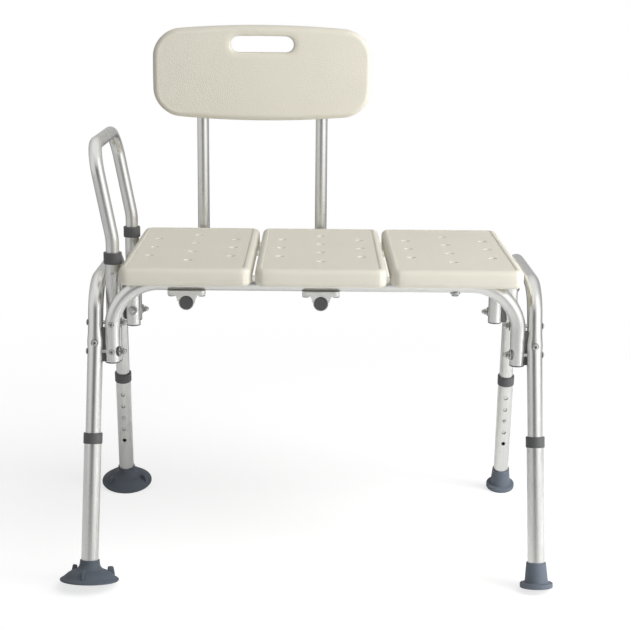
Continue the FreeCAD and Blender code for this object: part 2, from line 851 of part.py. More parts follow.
def seat_panel_cavity(across):
    """The sealed space in a blow-moulded panel, with a wall left round each hole, groove and bolt."""
    low = Vector(across - panel_width / 2 + panel_wall, panel_wall - seat_depth / 2,
                 seat_bottom + panel_wall)
    height = seat_thickness - panel_inset_depth - panel_wall * 2
    cavity = rounded_block(panel_width - panel_wall * 2, seat_depth - panel_wall * 2, height, low,
                           panel_corner - panel_wall)
    cavity = softened(cavity, low.z + height, low.z, panel_wall)
    for column, row in drain_places():
        middle = Vector(across + column * panel_width, row * seat_depth, seat_bottom)
        cavity = cavity.cut(rod(middle, middle + UP * seat_thickness, drain_sink / 2))
    for end in ENDS.values():
        start = Vector(across - panel_width / 2, end * rail_reach, rail_height)
        cavity = cavity.cut(rod(start, start + ACROSS * panel_width,
                                frame_radius + groove_clearance + panel_wall))
        for bolt in panel_bolts(across):
            seat = Vector(bolt, end * rail_reach, rail_height)
            top = Vector(bolt, end * rail_reach, rail_top + seat_bolt_engagement + panel_wall)
            cavity = cavity.cut(rod(seat, top, bolt_shank / 2 + panel_wall))
    return cavity


def panel_bolts(across):
    """The bolt places that lie under one panel."""
    return [bolt for bolt in seat_bolt_places() if abs(bolt - across) < panel_width / 2]


def seat_panel(place):
    """A hollow seat panel with rounded edges, a sunk top field, drain holes and rail grooves."""
    across = panel_middle(place)
    low = Vector(across - panel_width / 2, -seat_depth / 2, seat_bottom)
    panel = rounded_block(panel_width, seat_depth, seat_thickness, low, panel_corner)
    panel = softened(panel, seat_top, seat_bottom, 0)
    field_low = Vector(low.x + panel_inset, low.y + panel_inset, seat_top - panel_inset_depth)
    field = rounded_block(panel_width - panel_inset * 2, seat_depth - panel_inset * 2, panel_inset,
                          field_low, panel_corner - panel_inset / 2)
    panel = panel.cut(field)
    field_top = seat_top - panel_inset_depth
    for column, row in drain_places():
        middle = Vector(across + column * panel_width, row * seat_depth, field_top)
        panel = panel.cut(rod(middle - UP * seat_thickness, middle, drain_hole / 2))
        sink = Part.makeCone(drain_hole / 2, drain_sink / 2, drain_sink_depth,
                             middle - UP * drain_sink_depth, UP)
        panel = panel.cut(sink)
    for end in ENDS.values():
        start = Vector(low.x, end * rail_reach, rail_height)
        groove = rod(start, start + ACROSS * panel_width, frame_radius + groove_clearance)
        panel = panel.cut(groove)
        for bolt in panel_bolts(across):
            seat = Vector(bolt, end * rail_reach, rail_height)
            top = Vector(bolt, end * rail_reach, rail_top + seat_bolt_engagement)
            panel = panel.cut(rod(seat, top, bolt_shank / 2))
    return panel.cut(seat_panel_cavity(across))


def seat_bolt(across, end):
    """A hexagon-headed bolt from below, through the rail and into the panel's moulded insert."""
    on_bracket = across < panel_middle(0) + panel_width / 2
    bearing = rail_bottom - bracket_plate if on_bracket else rail_bottom - cup_washer_height
    seat = Vector(across, end * rail_reach, bearing)
    top = Vector(across, end * rail_reach, rail_top + seat_bolt_engagement)
    head = hexagon(seat - UP * seat_bolt_head_height, UP, nut_across_flats, seat_bolt_head_height)
    pieces = [head, rod(seat - UP * (seat_bolt_head_height / 2), top, bolt_shank / 2)]
    if not on_bracket:
        start = Vector(across - frame_tube, end * rail_reach, rail_height)
        washer = rod(seat, seat + UP * (cup_washer_height * 2), cup_washer / 2)
        pieces.append(washer.cut(rod(start, start + ACROSS * frame_tube * 2, frame_radius)))
    return joined(pieces)


# Receivers of the back rest

def back_receiver(place):
    """A level tube under the rails that takes a back tube from the rear."""
    across = panel_middle(place)
    front = Vector(across, -receiver_reach, receiver_height)
    rear = Vector(across, receiver_reach, receiver_height)
    tube = straight_tube(front, rear, frame_radius, receiver_bore)
    middle = Vector(across, receiver_button_reach, receiver_height)
    return tube.cut(rod(middle, middle - UP * frame_tube, button_hole / 2))


def receiver_plug(place):
    """The cap at the front of a receiver."""
    mouth = Vector(panel_middle(place), -receiver_reach, receiver_height)
    return plug(mouth, -AWAY, receiver_bore, receiver_plug_flange)


def back_bracket(place, end):
    """A plate that hugs the rail, with a waisted saddle welded down over the receiver."""
    across = panel_middle(place)
    middle = Vector(across, end * rail_reach, receiver_height)
    plate_bottom = rail_bottom - bracket_plate
    plate_low = Vector(across - bracket_length / 2, middle.y - bracket_width / 2, plate_bottom)
    plate = rounded_block(bracket_length, bracket_width, bracket_plate + bracket_hug, plate_low,
                          bracket_width / 4)
    start = Vector(across - bracket_length, middle.y, rail_height)
    plate = plate.cut(rod(start, start + ACROSS * bracket_length * 2, frame_radius))
    for bolt in (across - bracket_screw_spread, across + bracket_screw_spread):
        foot = Vector(bolt, middle.y, plate_bottom)
        plate = plate.cut(rod(foot, foot + UP * frame_radius, bolt_hole_radius))
    level = middle.y - bracket_width / 2
    waist_height = plate_bottom - saddle_drop / 2
    foot_height = plate_bottom - saddle_drop
    sides = []
    for side in (LEFT, RIGHT):
        sides.append([
            Vector(across + side * saddle_top / 2, level, plate_bottom),
            Vector(across + side * saddle_waist / 2, level, waist_height),
            Vector(across + side * saddle_bottom / 2, level, foot_height)])
    first, second = sides
    profile = [
        Part.Arc(first[0], first[1], first[2]).toShape(),
        Part.makeLine(first[2], second[2]),
        Part.Arc(second[2], second[1], second[0]).toShape(),
        Part.makeLine(second[0], first[0])]
    saddle = Part.Face(Part.Wire(profile)).extrude(AWAY * bracket_width)
    front = middle - AWAY * bracket_width
    saddle = saddle.cut(rod(front, middle + AWAY * bracket_width, frame_radius))
    return joined([plate, saddle])


# Back rest

def back_tube(place):
    """An L-shaped tube: one arm slides into the receiver, the other rises behind the panel."""
    across = panel_middle(place)
    points = [
        Vector(across, back_insert_end, receiver_height),
        Vector(across, back_tube_reach, receiver_height),
        Vector(across, back_tube_reach, back_tube_top)]
    tube = bent_tube(bent_path(points, (back_tube_bend,)), inner_radius, inner_bore)
    for height in back_screw_heights():
        middle = Vector(across, back_tube_reach, height)
        tube = tube.cut(rod(middle - AWAY * inner_tube, middle + AWAY * inner_tube, bolt_hole_radius))
    middle = Vector(across, receiver_button_reach, receiver_height)
    return tube.cut(rod(middle, middle - UP * frame_tube, button_width / 2 + slide_clearance))


def back_screw_heights():
    """Two screws per tube, the same distance from the panel's upper and lower edges."""
    return back_panel_bottom + back_screw_rise, back_panel_top - back_screw_rise * 2


def back_tube_plug(place):
    """The cap at the top of a back tube."""
    mouth = Vector(panel_middle(place), back_tube_reach, back_tube_top)
    return plug(mouth, UP, inner_bore, inner_tube)


def back_panel_screw(place, height):
    """A screw from behind, through the tube and into the panel."""
    across = panel_middle(place)
    seat = Vector(across, back_tube_reach + inner_radius, height)
    column = rod(Vector(across, back_tube_reach, back_panel_bottom),
                 Vector(across, back_tube_reach, back_panel_top), inner_radius)
    head = pan_head(seat, AWAY, screw_head, screw_head_height).cut(column)
    stop = Vector(across, back_tube_reach - inner_radius - back_screw_grip, height)
    return joined([head, rod(stop, seat + AWAY * (screw_head_height / 4), bolt_shank / 2)])


def crowned_face(width, top, bottom, crown, side_crown, level):
    """A face with four slightly bowed sides, in a plane that faces the front."""
    half = width / 2
    middle = (top + bottom) / 2
    corners = [
        Vector(side_crown - half, level, bottom + crown), Vector(half - side_crown, level, bottom + crown),
        Vector(half - side_crown, level, top - crown), Vector(side_crown - half, level, top - crown)]
    peaks = [Vector(0, level, bottom), Vector(half, level, middle),
             Vector(0, level, top), Vector(-half, level, middle)]
    sides = []
    for index, peak in enumerate(peaks):
        sides.append(Part.Arc(corners[index], peak, corners[(index + 1) % 4]).toShape())
    return Part.Face(Part.Wire(sides))


def back_panel_block(inset):
    """The back panel's block with bowed sides, rounded corners and round edges, inset all round."""
    face = crowned_face(back_panel_width - inset * 2, back_panel_top - inset, back_panel_bottom + inset,
                        back_panel_crown, back_panel_side_crown, back_panel_front + inset)
    block = face.extrude(AWAY * (back_panel_thickness - inset * 2))
    depth_edges = [edge for edge in block.Edges if abs(edge.tangentAt(edge.FirstParameter).y) > 0.5]
    block = block.makeFillet(back_panel_corner - inset, depth_edges)
    front = back_panel_front + inset
    rear = back_panel_front + back_panel_thickness - inset
    for level, round_over in ((front, back_panel_front_round), (rear, back_panel_rear_round)):
        rim = [edge for edge in block.Edges
               if max(abs(edge.BoundBox.YMin - level), abs(edge.BoundBox.YMax - level)) < slide_clearance]
        block = block.makeFillet(round_over - inset, rim)
    return block


def hand_slot(outset):
    """The hand slot's space with full-round ends, widened all round."""
    height = hand_slot_height + outset * 2
    length = hand_slot_length + outset * 2
    low = Vector(-length / 2, back_panel_front, hand_slot_middle - height / 2)
    slot = Part.makeBox(length, back_panel_thickness, height, low)
    ends = [edge for edge in slot.Edges if abs(edge.tangentAt(edge.FirstParameter).y) > 0.5]
    return slot.makeFillet(height / 2 - slide_clearance, ends)


def back_panel_cavity(across):
    """The sealed space in the back panel, with a wall left round the slot, grooves and screws."""
    cavity = back_panel_block(panel_wall).cut(hand_slot(panel_wall))
    cavity.translate(ACROSS * across)
    for place in (LEFT, 0):
        foot = Vector(panel_middle(place), back_tube_reach, back_panel_bottom)
        cavity = cavity.cut(rod(foot, foot + UP * (back_panel_top - back_panel_bottom),
                                inner_radius + groove_clearance + panel_wall))
        for height in back_screw_heights():
            seat = Vector(panel_middle(place), back_tube_reach, height)
            tip = seat - AWAY * (inner_radius + back_screw_grip + panel_wall)
            cavity = cavity.cut(rod(tip, seat, bolt_shank / 2 + panel_wall))
    return cavity


def back_panel():
    """A hollow panel with bowed edges, a hand slot and two grooves for its tubes."""
    across = (panel_middle(LEFT) + panel_middle(0)) / 2
    panel = back_panel_block(0).cut(hand_slot(0))
    lips = [edge for edge in panel.Edges
            if edge.BoundBox.XMax < hand_slot_length / 2 + slide_clearance
            and edge.BoundBox.XMin > -hand_slot_length / 2 - slide_clearance
            and edge.BoundBox.ZMin > hand_slot_middle - hand_slot_height / 2 - slide_clearance
            and edge.BoundBox.ZMax < hand_slot_middle + hand_slot_height / 2 + slide_clearance
            and edge.BoundBox.YLength < slide_clearance]
    panel = panel.makeFillet(hand_slot_round, lips)
    panel.translate(ACROSS * across)
    for place in (LEFT, 0):
        foot = Vector(panel_middle(place), back_tube_reach, back_panel_bottom - back_panel_crown)
        groove = rod(foot, foot + UP * (back_tube_top - foot.z + plug_flange_height * 2),
                     inner_radius + groove_clearance)
        panel = panel.cut(groove)
        for height in back_screw_heights():
            seat = Vector(panel_middle(place), back_tube_reach, height)
            panel = panel.cut(rod(seat - AWAY * (inner_radius + back_screw_grip), seat, bolt_shank / 2))
    return panel.cut(back_panel_cavity(across))


# Assembly

def frame_nodes():
    """Everything that stays fixed to the frame."""
    corners = [(side, end) for end in ENDS.values() for side in SIDES.values()]
    bolts = [(side, end, height) for side, end in corners
             for height in (upper_bolt_height, lower_bolt_height)]
    socket_screws = [(end, height) for end in ENDS.values()
                     for height in (socket_upper_screw, socket_lower_screw)]
    nodes = {"seat_panel_" + name: [seat_panel(place)] for name, place in PANELS.items()}
    for name, end in ENDS.items():
        nodes[name + "_rail"] = [rail(end)]
        nodes["handle_socket_" + name] = [handle_socket(end)]
    for name, side in SIDES.items():
        nodes["end_frame_" + name] = [end_frame(side)]
    for name, place in (("left", LEFT), ("right", 0)):
        nodes["back_receiver_" + name] = [back_receiver(place)]
        nodes["back_brackets_" + name] = [back_bracket(place, end) for end in ENDS.values()]
    nodes["rail_end_plugs"] = [rail_end_plug(*corner) for corner in corners]
    nodes["rail_spacers"] = [rail_spacer(*corner) for corner in corners]
    nodes["frame_bolts"] = [frame_bolt(*bolt) for bolt in bolts]
    nodes["cup_washers"] = [frame_cup_washer(*bolt) for bolt in bolts]
    nodes["dome_nuts"] = [frame_dome_nut(*bolt) for bolt in bolts]
    nodes["leg_cross_screws"] = [leg_cross_screw(*corner) for corner in corners]
    nodes["leg_cross_nuts"] = [leg_cross_nut(*corner) for corner in corners]
    nodes["leg_clip_springs"] = [leg_clip(*corner) for corner in corners]
    nodes["socket_plugs"] = [socket_plug(end) for end in ENDS.values()]
    nodes["socket_collars"] = [socket_collar(end) for end in ENDS.values()]
    nodes["socket_screws"] = [socket_screw(*screw) for screw in socket_screws]
    nodes["socket_nuts"] = [socket_nut(*screw) for screw in socket_screws]
    nodes["receiver_plugs"] = [receiver_plug(place) for place in (LEFT, 0)]
    nodes["seat_bolts"] = [seat_bolt(across, end) for end in ENDS.values() for across in seat_bolt_places()]
    return nodes


def leg_nodes():
    """The four lower legs with their collars, feet and height buttons."""
    nodes = {}
    for end_name, end in ENDS.items():
        for side_name, side in SIDES.items():
            place = end_name + "_" + side_name
            nodes["lower_leg_" + place] = [lower_leg(side, end)]
            nodes["leg_collar_" + place] = [leg_collar(side, end)]
            nodes["leg_button_" + place] = [leg_button(side, end)]
        nodes["suction_foot_" + end_name] = [suction_foot(end)]
        nodes["rubber_tip_" + end_name] = [rubber_tip(end)]
    return nodes


def handle_nodes():
    """The side handle and its snap clips."""
    nodes = {"grab_handle": [grab_handle()]}
    for name, end in ENDS.items():
        nodes["handle_button_" + name] = [handle_button(end)]
    nodes["handle_clip_springs"] = [handle_clip(end) for end in ENDS.values()]
    return nodes


def back_nodes():
    """The back rest and its snap clips."""
    nodes = {"back_panel": [back_panel()]}
    for name, place in (("left", LEFT), ("right", 0)):
        nodes["back_tube_" + name] = [back_tube(place)]
        nodes["back_button_" + name] = [back_button(place)]
    nodes["back_tube_plugs"] = [back_tube_plug(place) for place in (LEFT, 0)]
    nodes["back_clip_springs"] = [back_clip(place) for place in (LEFT, 0)]
    nodes["back_panel_screws"] = [back_panel_screw(place, height) for place in (LEFT, 0)
                                  for height in back_screw_heights()]
    return nodes


def write(name, solids):
    """Save the solids of one node, moved so that the origin is below the middle of the bench."""
    moved = []
    for solid in solids:
        copy = solid.copy()
        copy.translate(ACROSS * bench_shift)
        moved.append(copy)
    shape = moved[0] if len(moved) == 1 else Part.makeCompound(moved)
    shape.exportStep("parts/" + name + ".step")


def main():
    """Build every node and write its file."""
    os.makedirs("parts", exist_ok=True)
    nodes = {}
    for group in (frame_nodes, leg_nodes, handle_nodes, back_nodes):
        nodes.update(group())
    for name, solids in nodes.items():
        write(name, solids)


main()
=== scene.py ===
import math

import bpy
import numpy as np
from mathutils import Matrix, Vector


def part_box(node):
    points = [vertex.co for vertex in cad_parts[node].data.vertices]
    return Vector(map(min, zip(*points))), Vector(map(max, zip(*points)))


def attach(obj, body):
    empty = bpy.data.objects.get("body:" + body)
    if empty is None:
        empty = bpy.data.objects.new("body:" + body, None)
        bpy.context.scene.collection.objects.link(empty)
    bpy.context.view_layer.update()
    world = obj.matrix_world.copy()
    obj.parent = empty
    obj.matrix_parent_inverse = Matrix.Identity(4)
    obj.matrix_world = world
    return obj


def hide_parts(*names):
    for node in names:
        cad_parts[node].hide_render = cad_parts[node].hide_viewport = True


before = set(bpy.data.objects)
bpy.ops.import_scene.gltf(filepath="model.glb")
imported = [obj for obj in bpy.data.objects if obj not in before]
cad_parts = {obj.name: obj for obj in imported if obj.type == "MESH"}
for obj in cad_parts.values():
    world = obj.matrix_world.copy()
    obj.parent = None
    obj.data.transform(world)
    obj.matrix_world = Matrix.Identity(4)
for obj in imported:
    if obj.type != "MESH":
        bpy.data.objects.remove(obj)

bl_info = {
    "name": "Transfer bench finish",
    "version": (1, 0, 0),
    "blender": (4, 5, 0),
    "location": "View3D > Sidebar > Bench",
    "description": "Gives the transfer bench its moulded, drawn and turned surfaces and their finishes",
    "category": "Object",
}

SIDES = {"left": -1, "right": 1}
ENDS = {"front": -1, "rear": 1}
TAU = 2 * math.pi

# The source's places in mm: x from the middle between the legs, y from the middle, z from the floor
SHIFT = 10.8                    # the middle between the legs lies this far right of the bench's own
LEG_HALF = 366                  # half the distance between the two end frames
CROSS_SCREW = 399.5             # height of the screws across the legs, where the legs start to spread
BOLTS = (430.5, 383.5)          # heights of the bolts from a leg to a rail's upright
LEG_BUTTON = 159.5              # height of a leg's snap button
COLLAR_TOP = 251
LEG_FOOT = 19                   # height of a lower leg's end inside its foot
FRAME_END, FRAME_TOP = 122.5, 494.5
RAIL_HALF = 338                 # half the distance between a rail's two uprights
RAIL_REACH = 154
RAIL_END, RAIL_TOP = 365.5, 500.5
SOCKET_REACH = 128
SOCKET_END, SOCKET_MOUTH, SOCKET_TOP = 361.5, 543.3, 545.5      # the mouth lies inside the collar
HANDLE_END, HANDLE_BEND, HANDLE_TOP = 449.5, 567.5, 721.5       # the bend is where it leans out
RECEIVER = 469.1                # height of the receivers and of the back tubes in them
RECEIVER_HALF = 166
BACK_END, BACK_REACH, BACK_TOP = -40, 225, 866.5                # how far a back tube runs each way

PLAY = 0.00008                  # between a tube and the one that slides in it, m
COLLAR_LIP = 0.0022             # how far a collar covers its tube's mouth, m


# Settings that a user would change

def length(name, text, value):
    """A length in metres, shown in the unit of the scene."""
    return bpy.props.FloatProperty(name=name, description=text, default=value, unit="LENGTH", precision=5)


def colour(name, text, value):
    """A colour as light reflected, from 0 to 1."""
    return bpy.props.FloatVectorProperty(name=name, description=text, default=value, subtype="COLOR",
                                         size=3, min=0.0, max=1.0)


class BenchSizes(bpy.types.PropertyGroup):
    """Sizes of the dressed bench, the same as in its solids."""
    frame_tube: length("Frame tube", "Outer diameter of the frame's tubes", 0.0254)
    leg_tube: length("Leg tube", "Outer diameter of the lower legs", 0.0286)
    inner_tube: length("Inner tube", "Outer diameter of the handle and the back tubes", 0.0222)
    frame_wall: length("Frame wall", "Wall thickness of the frame's tubes", 0.0015)
    inner_wall: length("Inner wall", "Wall thickness of the handle and the back tubes", 0.0013)
    panel_corner: length("Panel corner", "Corner radius of a seat panel seen from above", 0.017)
    panel_round: length("Panel edge", "Radius of a seat panel's upper edge", 0.0095)
    border: length("Panel border", "Width of the smooth border round the sunk field", 0.012)
    drain_hole: length("Drain hole", "Diameter of a drain hole", 0.006)
    drain_sink: length("Drain sink", "Diameter of the dish round a drain hole", 0.0145)
    back_corner: length("Back corner", "Corner radius of the back panel", 0.046)
    hole_pitch: length("Hole pitch", "Distance between two height holes", 0.0254)


class BenchColours(bpy.types.PropertyGroup):
    """Colours of the finishes."""
    ivory: colour("Ivory plastic", "The moulded panels", (0.746, 0.713, 0.613))
    aluminium: colour("Aluminium", "The satin tubes", (0.74, 0.74, 0.72))
    dark: colour("Dark plastic", "Collars, plugs and spacers", (0.082, 0.083, 0.084))
    steel: colour("Steel", "Screws, nuts and buttons", (0.54, 0.54, 0.53))
    rubber: colour("Rubber", "Suction cups and tips", (0.108, 0.128, 0.158))
    floor: colour("Floor", "The studio floor", (0.96, 0.96, 0.96))


# Places

def place(x, y, z):
    """A point of the source's frame, in millimetres from the middle between the legs, in metres."""
    return np.array([x + SHIFT, y, z]) / 1000


def unit(v):
    """A vector divided by its length, along the last axis."""
    v = np.asarray(v, float)
    return v / np.linalg.norm(v, axis=-1, keepdims=True)


def leg_point(side, end, height):
    """A point on a leg's centreline.

    It leans 13 degrees to its end, and 1 degree sideways below the cross screw."""
    spread = max(0, CROSS_SCREW - height) * math.tan(math.radians(1))
    reach = RAIL_REACH + (407.3 - height) * math.tan(math.radians(13))
    return place(side * (LEG_HALF + spread), end * reach, height)


def leg_frame(side, end):
    """Up a lower leg, square to it towards the bench's middle, and square to it towards its side."""
    axis = unit(leg_point(side, end, CROSS_SCREW) - leg_point(side, end, 0))
    inward = np.array([0, -end, 0.0])
    inward = unit(inward - axis * inward.dot(axis))
    return axis, inward, np.cross(axis, inward) * (side * end)


# Surfaces

def finish_mesh(name, points, faces, sharp=35.0, **layers):
    """A mesh of the points and faces, smooth but for edges sharper than an angle in degrees."""
    mesh = bpy.data.meshes.new(name)
    mesh.from_pydata(points.reshape(-1, 3).tolist(), [], faces)
    for layer, values in layers.items():
        values = np.asarray(values, float)
        vector = values.ndim > 1 and values.shape[-1] == 3
        kind, key = ("FLOAT_VECTOR", "vector") if vector else ("FLOAT", "value")
        mesh.attributes.new(layer, kind, "POINT").data.foreach_set(key, values.reshape(-1))
    mesh.shade_smooth()
    mesh.set_sharp_from_angle(angle=math.radians(sharp))
    mesh.update()
    piece = bpy.data.objects.new(name, mesh)
    bpy.context.scene.collection.objects.link(piece)
    return piece


def closed_rings(rings, sides):
    """Faces of rings round a closed loop: ring i joins ring i+1, and side j joins side j+1."""
    i, j = np.meshgrid(np.arange(rings), np.arange(sides), indexing="ij")
    a = i * sides + j
    b = i * sides + (j + 1) % sides
    c = ((i + 1) % rings) * sides + (j + 1) % sides
    d = ((i + 1) % rings) * sides + j
    return np.stack([a, b, c, d], -1).reshape(-1, 4)


def capped_rings(rings, sides, copies=1):
    """Faces of rings from one pole to the other; the first and the last vertex are the poles.

    Copies of a piece follow each other, so each one's numbers start past the last one's."""
    body = closed_rings(rings, sides)[: (rings - 1) * sides] + 1
    j = np.arange(sides)
    first = np.stack([np.zeros_like(j), 1 + (j + 1) % sides, 1 + j], -1)
    last = 1 + (rings - 1) * sides
    end = np.stack([np.full_like(j, 1 + rings * sides), last + j, last + (j + 1) % sides], -1)
    start = np.arange(copies)[:, None, None] * (rings * sides + 2)
    return [face for part in (body, first, end)
            for face in (part + start).reshape(-1, part.shape[-1]).tolist()]


def route(corners, bends, pitch=0.004):
    """Points along straight runs joined by arcs, their directions and the distance run.

    An arc of bend radius r leaves each run r tan(turn / 2) before its corner."""
    points = [np.array([corners[0]])]
    last = corners[0]
    for before, corner, after, bend in zip(corners, corners[1:], corners[2:], bends):
        into, out = unit(corner - before), unit(after - corner)
        turn = math.acos(np.clip(into.dot(out), -1, 1))
        inward = unit(out - into)
        centre = corner + inward * bend / math.cos(turn / 2)
        first = corner - into * bend * math.tan(turn / 2)
        t = np.linspace(0, 1, max(2, int(np.linalg.norm(first - last) / (pitch * 6)) + 1))[1:-1, None]
        points.append(last + (first - last) * t)
        angle = np.linspace(0, turn, max(5, int(turn * bend / pitch) + 2))[:, None]
        outward = unit(first - centre)
        points.append(centre + bend * (outward * np.cos(angle) + into * np.sin(angle)))
        last = points[-1][-1]
    t = np.linspace(0, 1, max(2, int(np.linalg.norm(corners[-1] - last) / (pitch * 6)) + 1))[1:, None]
    points.append(last + (corners[-1] - last) * t)
    line = np.concatenate(points)
    run = np.concatenate([[0], np.cumsum(np.linalg.norm(np.diff(line, axis=0), axis=1))])
    return line, unit(np.gradient(line, run, axis=0)), run


def densify(line, heading, run, spots, reach, pitch):
    """The route with more points, a pitch apart, within reach of each spot."""
    extra = []
    for spot in spots:
        near = run[np.argmin(np.linalg.norm(line - spot, axis=1))]
        extra.append(np.arange(near - reach, near + reach, pitch))
    along = np.unique(np.round(np.clip(np.concatenate([run] + extra), run[0], run[-1]), 6))
    line = np.stack([np.interp(along, run, line[:, k]) for k in range(3)], -1)
    heading = unit(np.stack([np.interp(along, run, heading[:, k]) for k in range(3)], -1))
    return line, heading, along


def drawn_tube(name, corners, bends, radius, bore, across, pinches=(), sides=48):
    """A tube drawn along a route: a ring of the outer radius at each point, and back again at the bore.

    Both mouths turn over a small round edge. A pinch flattens the tube: its radius grows by the depth
    times cos(2 angle) exp(-(distance / width)^2), with the angle taken from the across direction and the
    distance from the pinch."""
    line, heading, run = route(corners, bends)
    if pinches:
        line, heading, run = densify(line, heading, run, [p[0] for p in pinches], 0.03, 0.0015)
    edge = 0.0004
    start, stop = line[0] + heading[0] * edge, line[-1] - heading[-1] * edge
    spine = np.concatenate([line[:1], [start], line[1:-1], [stop], line[-1:]])
    heads = np.concatenate([heading[:1], heading[:1], heading[1:-1], heading[-1:], heading[-1:]])
    along = np.concatenate([run[:1], run[:1] + edge, run[1:-1], run[-1:] - edge, run[-1:]])
    outer = np.full(len(spine), radius)
    outer[[0, -1]] -= edge
    inner = np.full(len(spine), bore)
    inner[[0, -1]] += edge / 2
    squash = np.zeros(len(spine))
    for spot, depth, width in pinches:
        squash += depth * np.exp(-(np.linalg.norm(spine - spot, axis=1) / width) ** 2)
    centre = np.concatenate([spine, spine[::-1]])
    heads = np.concatenate([heads, heads[::-1]])
    size = np.concatenate([outer, inner[::-1]])[:, None]
    along = np.concatenate([along, along[::-1]])
    first = unit(across - heads * (heads @ np.asarray(across, float))[:, None])
    second = np.cross(heads, first)
    angle = np.arange(sides) * TAU / sides
    ring = first[:, None] * np.cos(angle)[:, None] + second[:, None] * np.sin(angle)[:, None]
    size = size + np.concatenate([squash, squash[::-1]])[:, None] * np.cos(2 * angle)
    points = centre[:, None] + ring * size[..., None]
    flow = np.stack(np.broadcast_arrays(np.cos(angle), np.sin(angle), along[:, None]), -1)
    faces = closed_rings(len(centre), sides)
    return finish_mesh(name, points, faces.tolist(), run=flow)


def turned_ring(name, profile, origin, axis, sides=64):
    """A closed profile of (radius, height) turned round an axis: origin + height axis + radius around."""
    profile = np.asarray(profile, float)
    axis = unit(axis)
    first = unit(np.cross(axis, [0.0, 1.0, 0.1]))
    second = np.cross(axis, first)
    angle = np.arange(sides) * TAU / sides
    ring = first * np.cos(angle)[:, None] + second * np.sin(angle)[:, None]
    points = origin + profile[:, 1, None, None] * axis + profile[:, 0, None, None] * ring
    return finish_mesh(name, points, closed_rings(len(profile), sides).tolist())


def rounded(corners, radius, steps=6):
    """A closed profile whose corners are rounded: each one is replaced by an arc's points.

    The arc leaves each side radius tan(turn / 2) before the corner, or at 0.45 of a short side."""
    corners = np.asarray(corners, float)
    before, after = np.roll(corners, 1, 0), np.roll(corners, -1, 0)
    into, out = unit(corners - before), unit(after - corners)
    turn = np.arccos(np.clip((into * out).sum(1), -1, 1))
    cut = np.minimum(radius * np.tan(turn / 2), 0.45 * np.minimum(
        np.linalg.norm(corners - before, axis=1), np.linalg.norm(after - corners, axis=1)))
    bend = cut / np.maximum(np.tan(turn / 2), 1e-9)
    centre = corners + unit(out - into) * (bend / np.cos(turn / 2))[:, None]
    t = np.linspace(0, 1, steps)[:, None, None] * turn[:, None]
    outward = unit(corners - into * cut[:, None] - centre)
    arc = centre + bend[:, None] * (outward * np.cos(t) + into * np.sin(t))
    return arc.transpose(1, 0, 2).reshape(-1, 2)


def lines(low, high, fine, coarse):
    """Grid lines from low to high: each fine group of lines, and even steps between the groups."""
    marks = np.unique(np.round(np.concatenate([[low, high]] + fine), 7))
    marks = np.clip(marks[(marks >= low - 1e-6) & (marks <= high + 1e-6)], low, high)
    spans = [np.linspace(a, b, max(1, int(math.ceil((b - a) / coarse))) + 1)[:-1]
             for a, b in zip(marks, marks[1:])]
    return np.concatenate(spans + [[marks[-1]]])


def pierced_grid(us, vs, holes):
    """A grid whose lines run in rings round each hole, and a mask of the cells that stay.

    A hole is (u, v, run, radius, reach): a slot of that half run with round ends. Round its ends the
    squares m = max(|a|, |b|) are drawn in to circles of radius m, and that fades out at the reach."""
    u, v = (g.copy() for g in np.meshgrid(us, vs, indexing="ij"))
    u0, v0 = u.copy(), v.copy()
    mid_u = ((us[1:] + us[:-1]) / 2)[:, None]
    mid_v = ((vs[1:] + vs[:-1]) / 2)[None]
    keep = np.ones((len(us) - 1, len(vs) - 1), bool)
    for hu, hv, run, radius, reach in holes:
        a = np.maximum(np.abs(u0 - hu) - run, 0)
        b = np.abs(v0 - hv)
        m = np.maximum(a, b)
        far = np.hypot(a, b)
        inner = radius + (reach - radius) * 0.45
        fade = np.clip((reach - m) / (reach - inner), 0, 1)
        fade = fade * fade * (3 - 2 * fade)
        pull = 1 + (np.where(far > 0, m / np.maximum(far, 1e-9), 1) - 1) * fade
        near = m < reach
        u[near] = (hu + np.sign(u0 - hu) * (np.minimum(np.abs(u0 - hu), run) + a * pull))[near]
        v[near] = (hv + np.sign(v0 - hv) * b * pull)[near]
        keep &= ~((np.abs(mid_u - hu) < run + radius) & (np.abs(mid_v - hv) < radius))
    return u, v, keep


def two_sided(keep, wrap=False):
    """Faces of a front and a back sheet on one grid, joined along every edge of the kept cells."""
    nu, nv = keep.shape
    rows = nu if wrap else nu + 1
    index = np.arange(rows * (nv + 1)).reshape(rows, nv + 1)
    if wrap:
        index = np.concatenate([index, index[:1]])
    back = rows * (nv + 1)
    i, j = np.nonzero(keep)
    a, b, c, d = index[i, j], index[i + 1, j], index[i + 1, j + 1], index[i, j + 1]
    faces = [np.stack([a, b, c, d], -1), np.stack([d, c, b, a], -1) + back]
    pad = np.zeros((nu + 2, nv + 2), bool)
    pad[1:-1, 1:-1] = keep
    if wrap:
        pad[0], pad[-1] = pad[-2], pad[1]
    here = pad[1:-1, 1:-1]
    for gone, (p, q) in ((pad[1:-1, :-2], ((0, 0), (1, 0))), (pad[2:, 1:-1], ((1, 0), (1, 1))),
                         (pad[1:-1, 2:], ((1, 1), (0, 1))), (pad[:-2, 1:-1], ((0, 1), (0, 0)))):
        i, j = np.nonzero(here & ~gone)
        e, f = index[i + p[0], j + p[1]], index[i + q[0], j + q[1]]
        faces.append(np.stack([f, e, e + back, f + back], -1))
    return np.concatenate(faces)


def trimmed(points, faces, **layers):
    """The points that the faces use, and the faces and layers renumbered to them."""
    used = np.unique(faces)
    number = np.zeros(len(points), int)
    number[used] = np.arange(len(used))
    return points[used], number[faces].tolist(), {k: np.asarray(v)[used] for k, v in layers.items()}


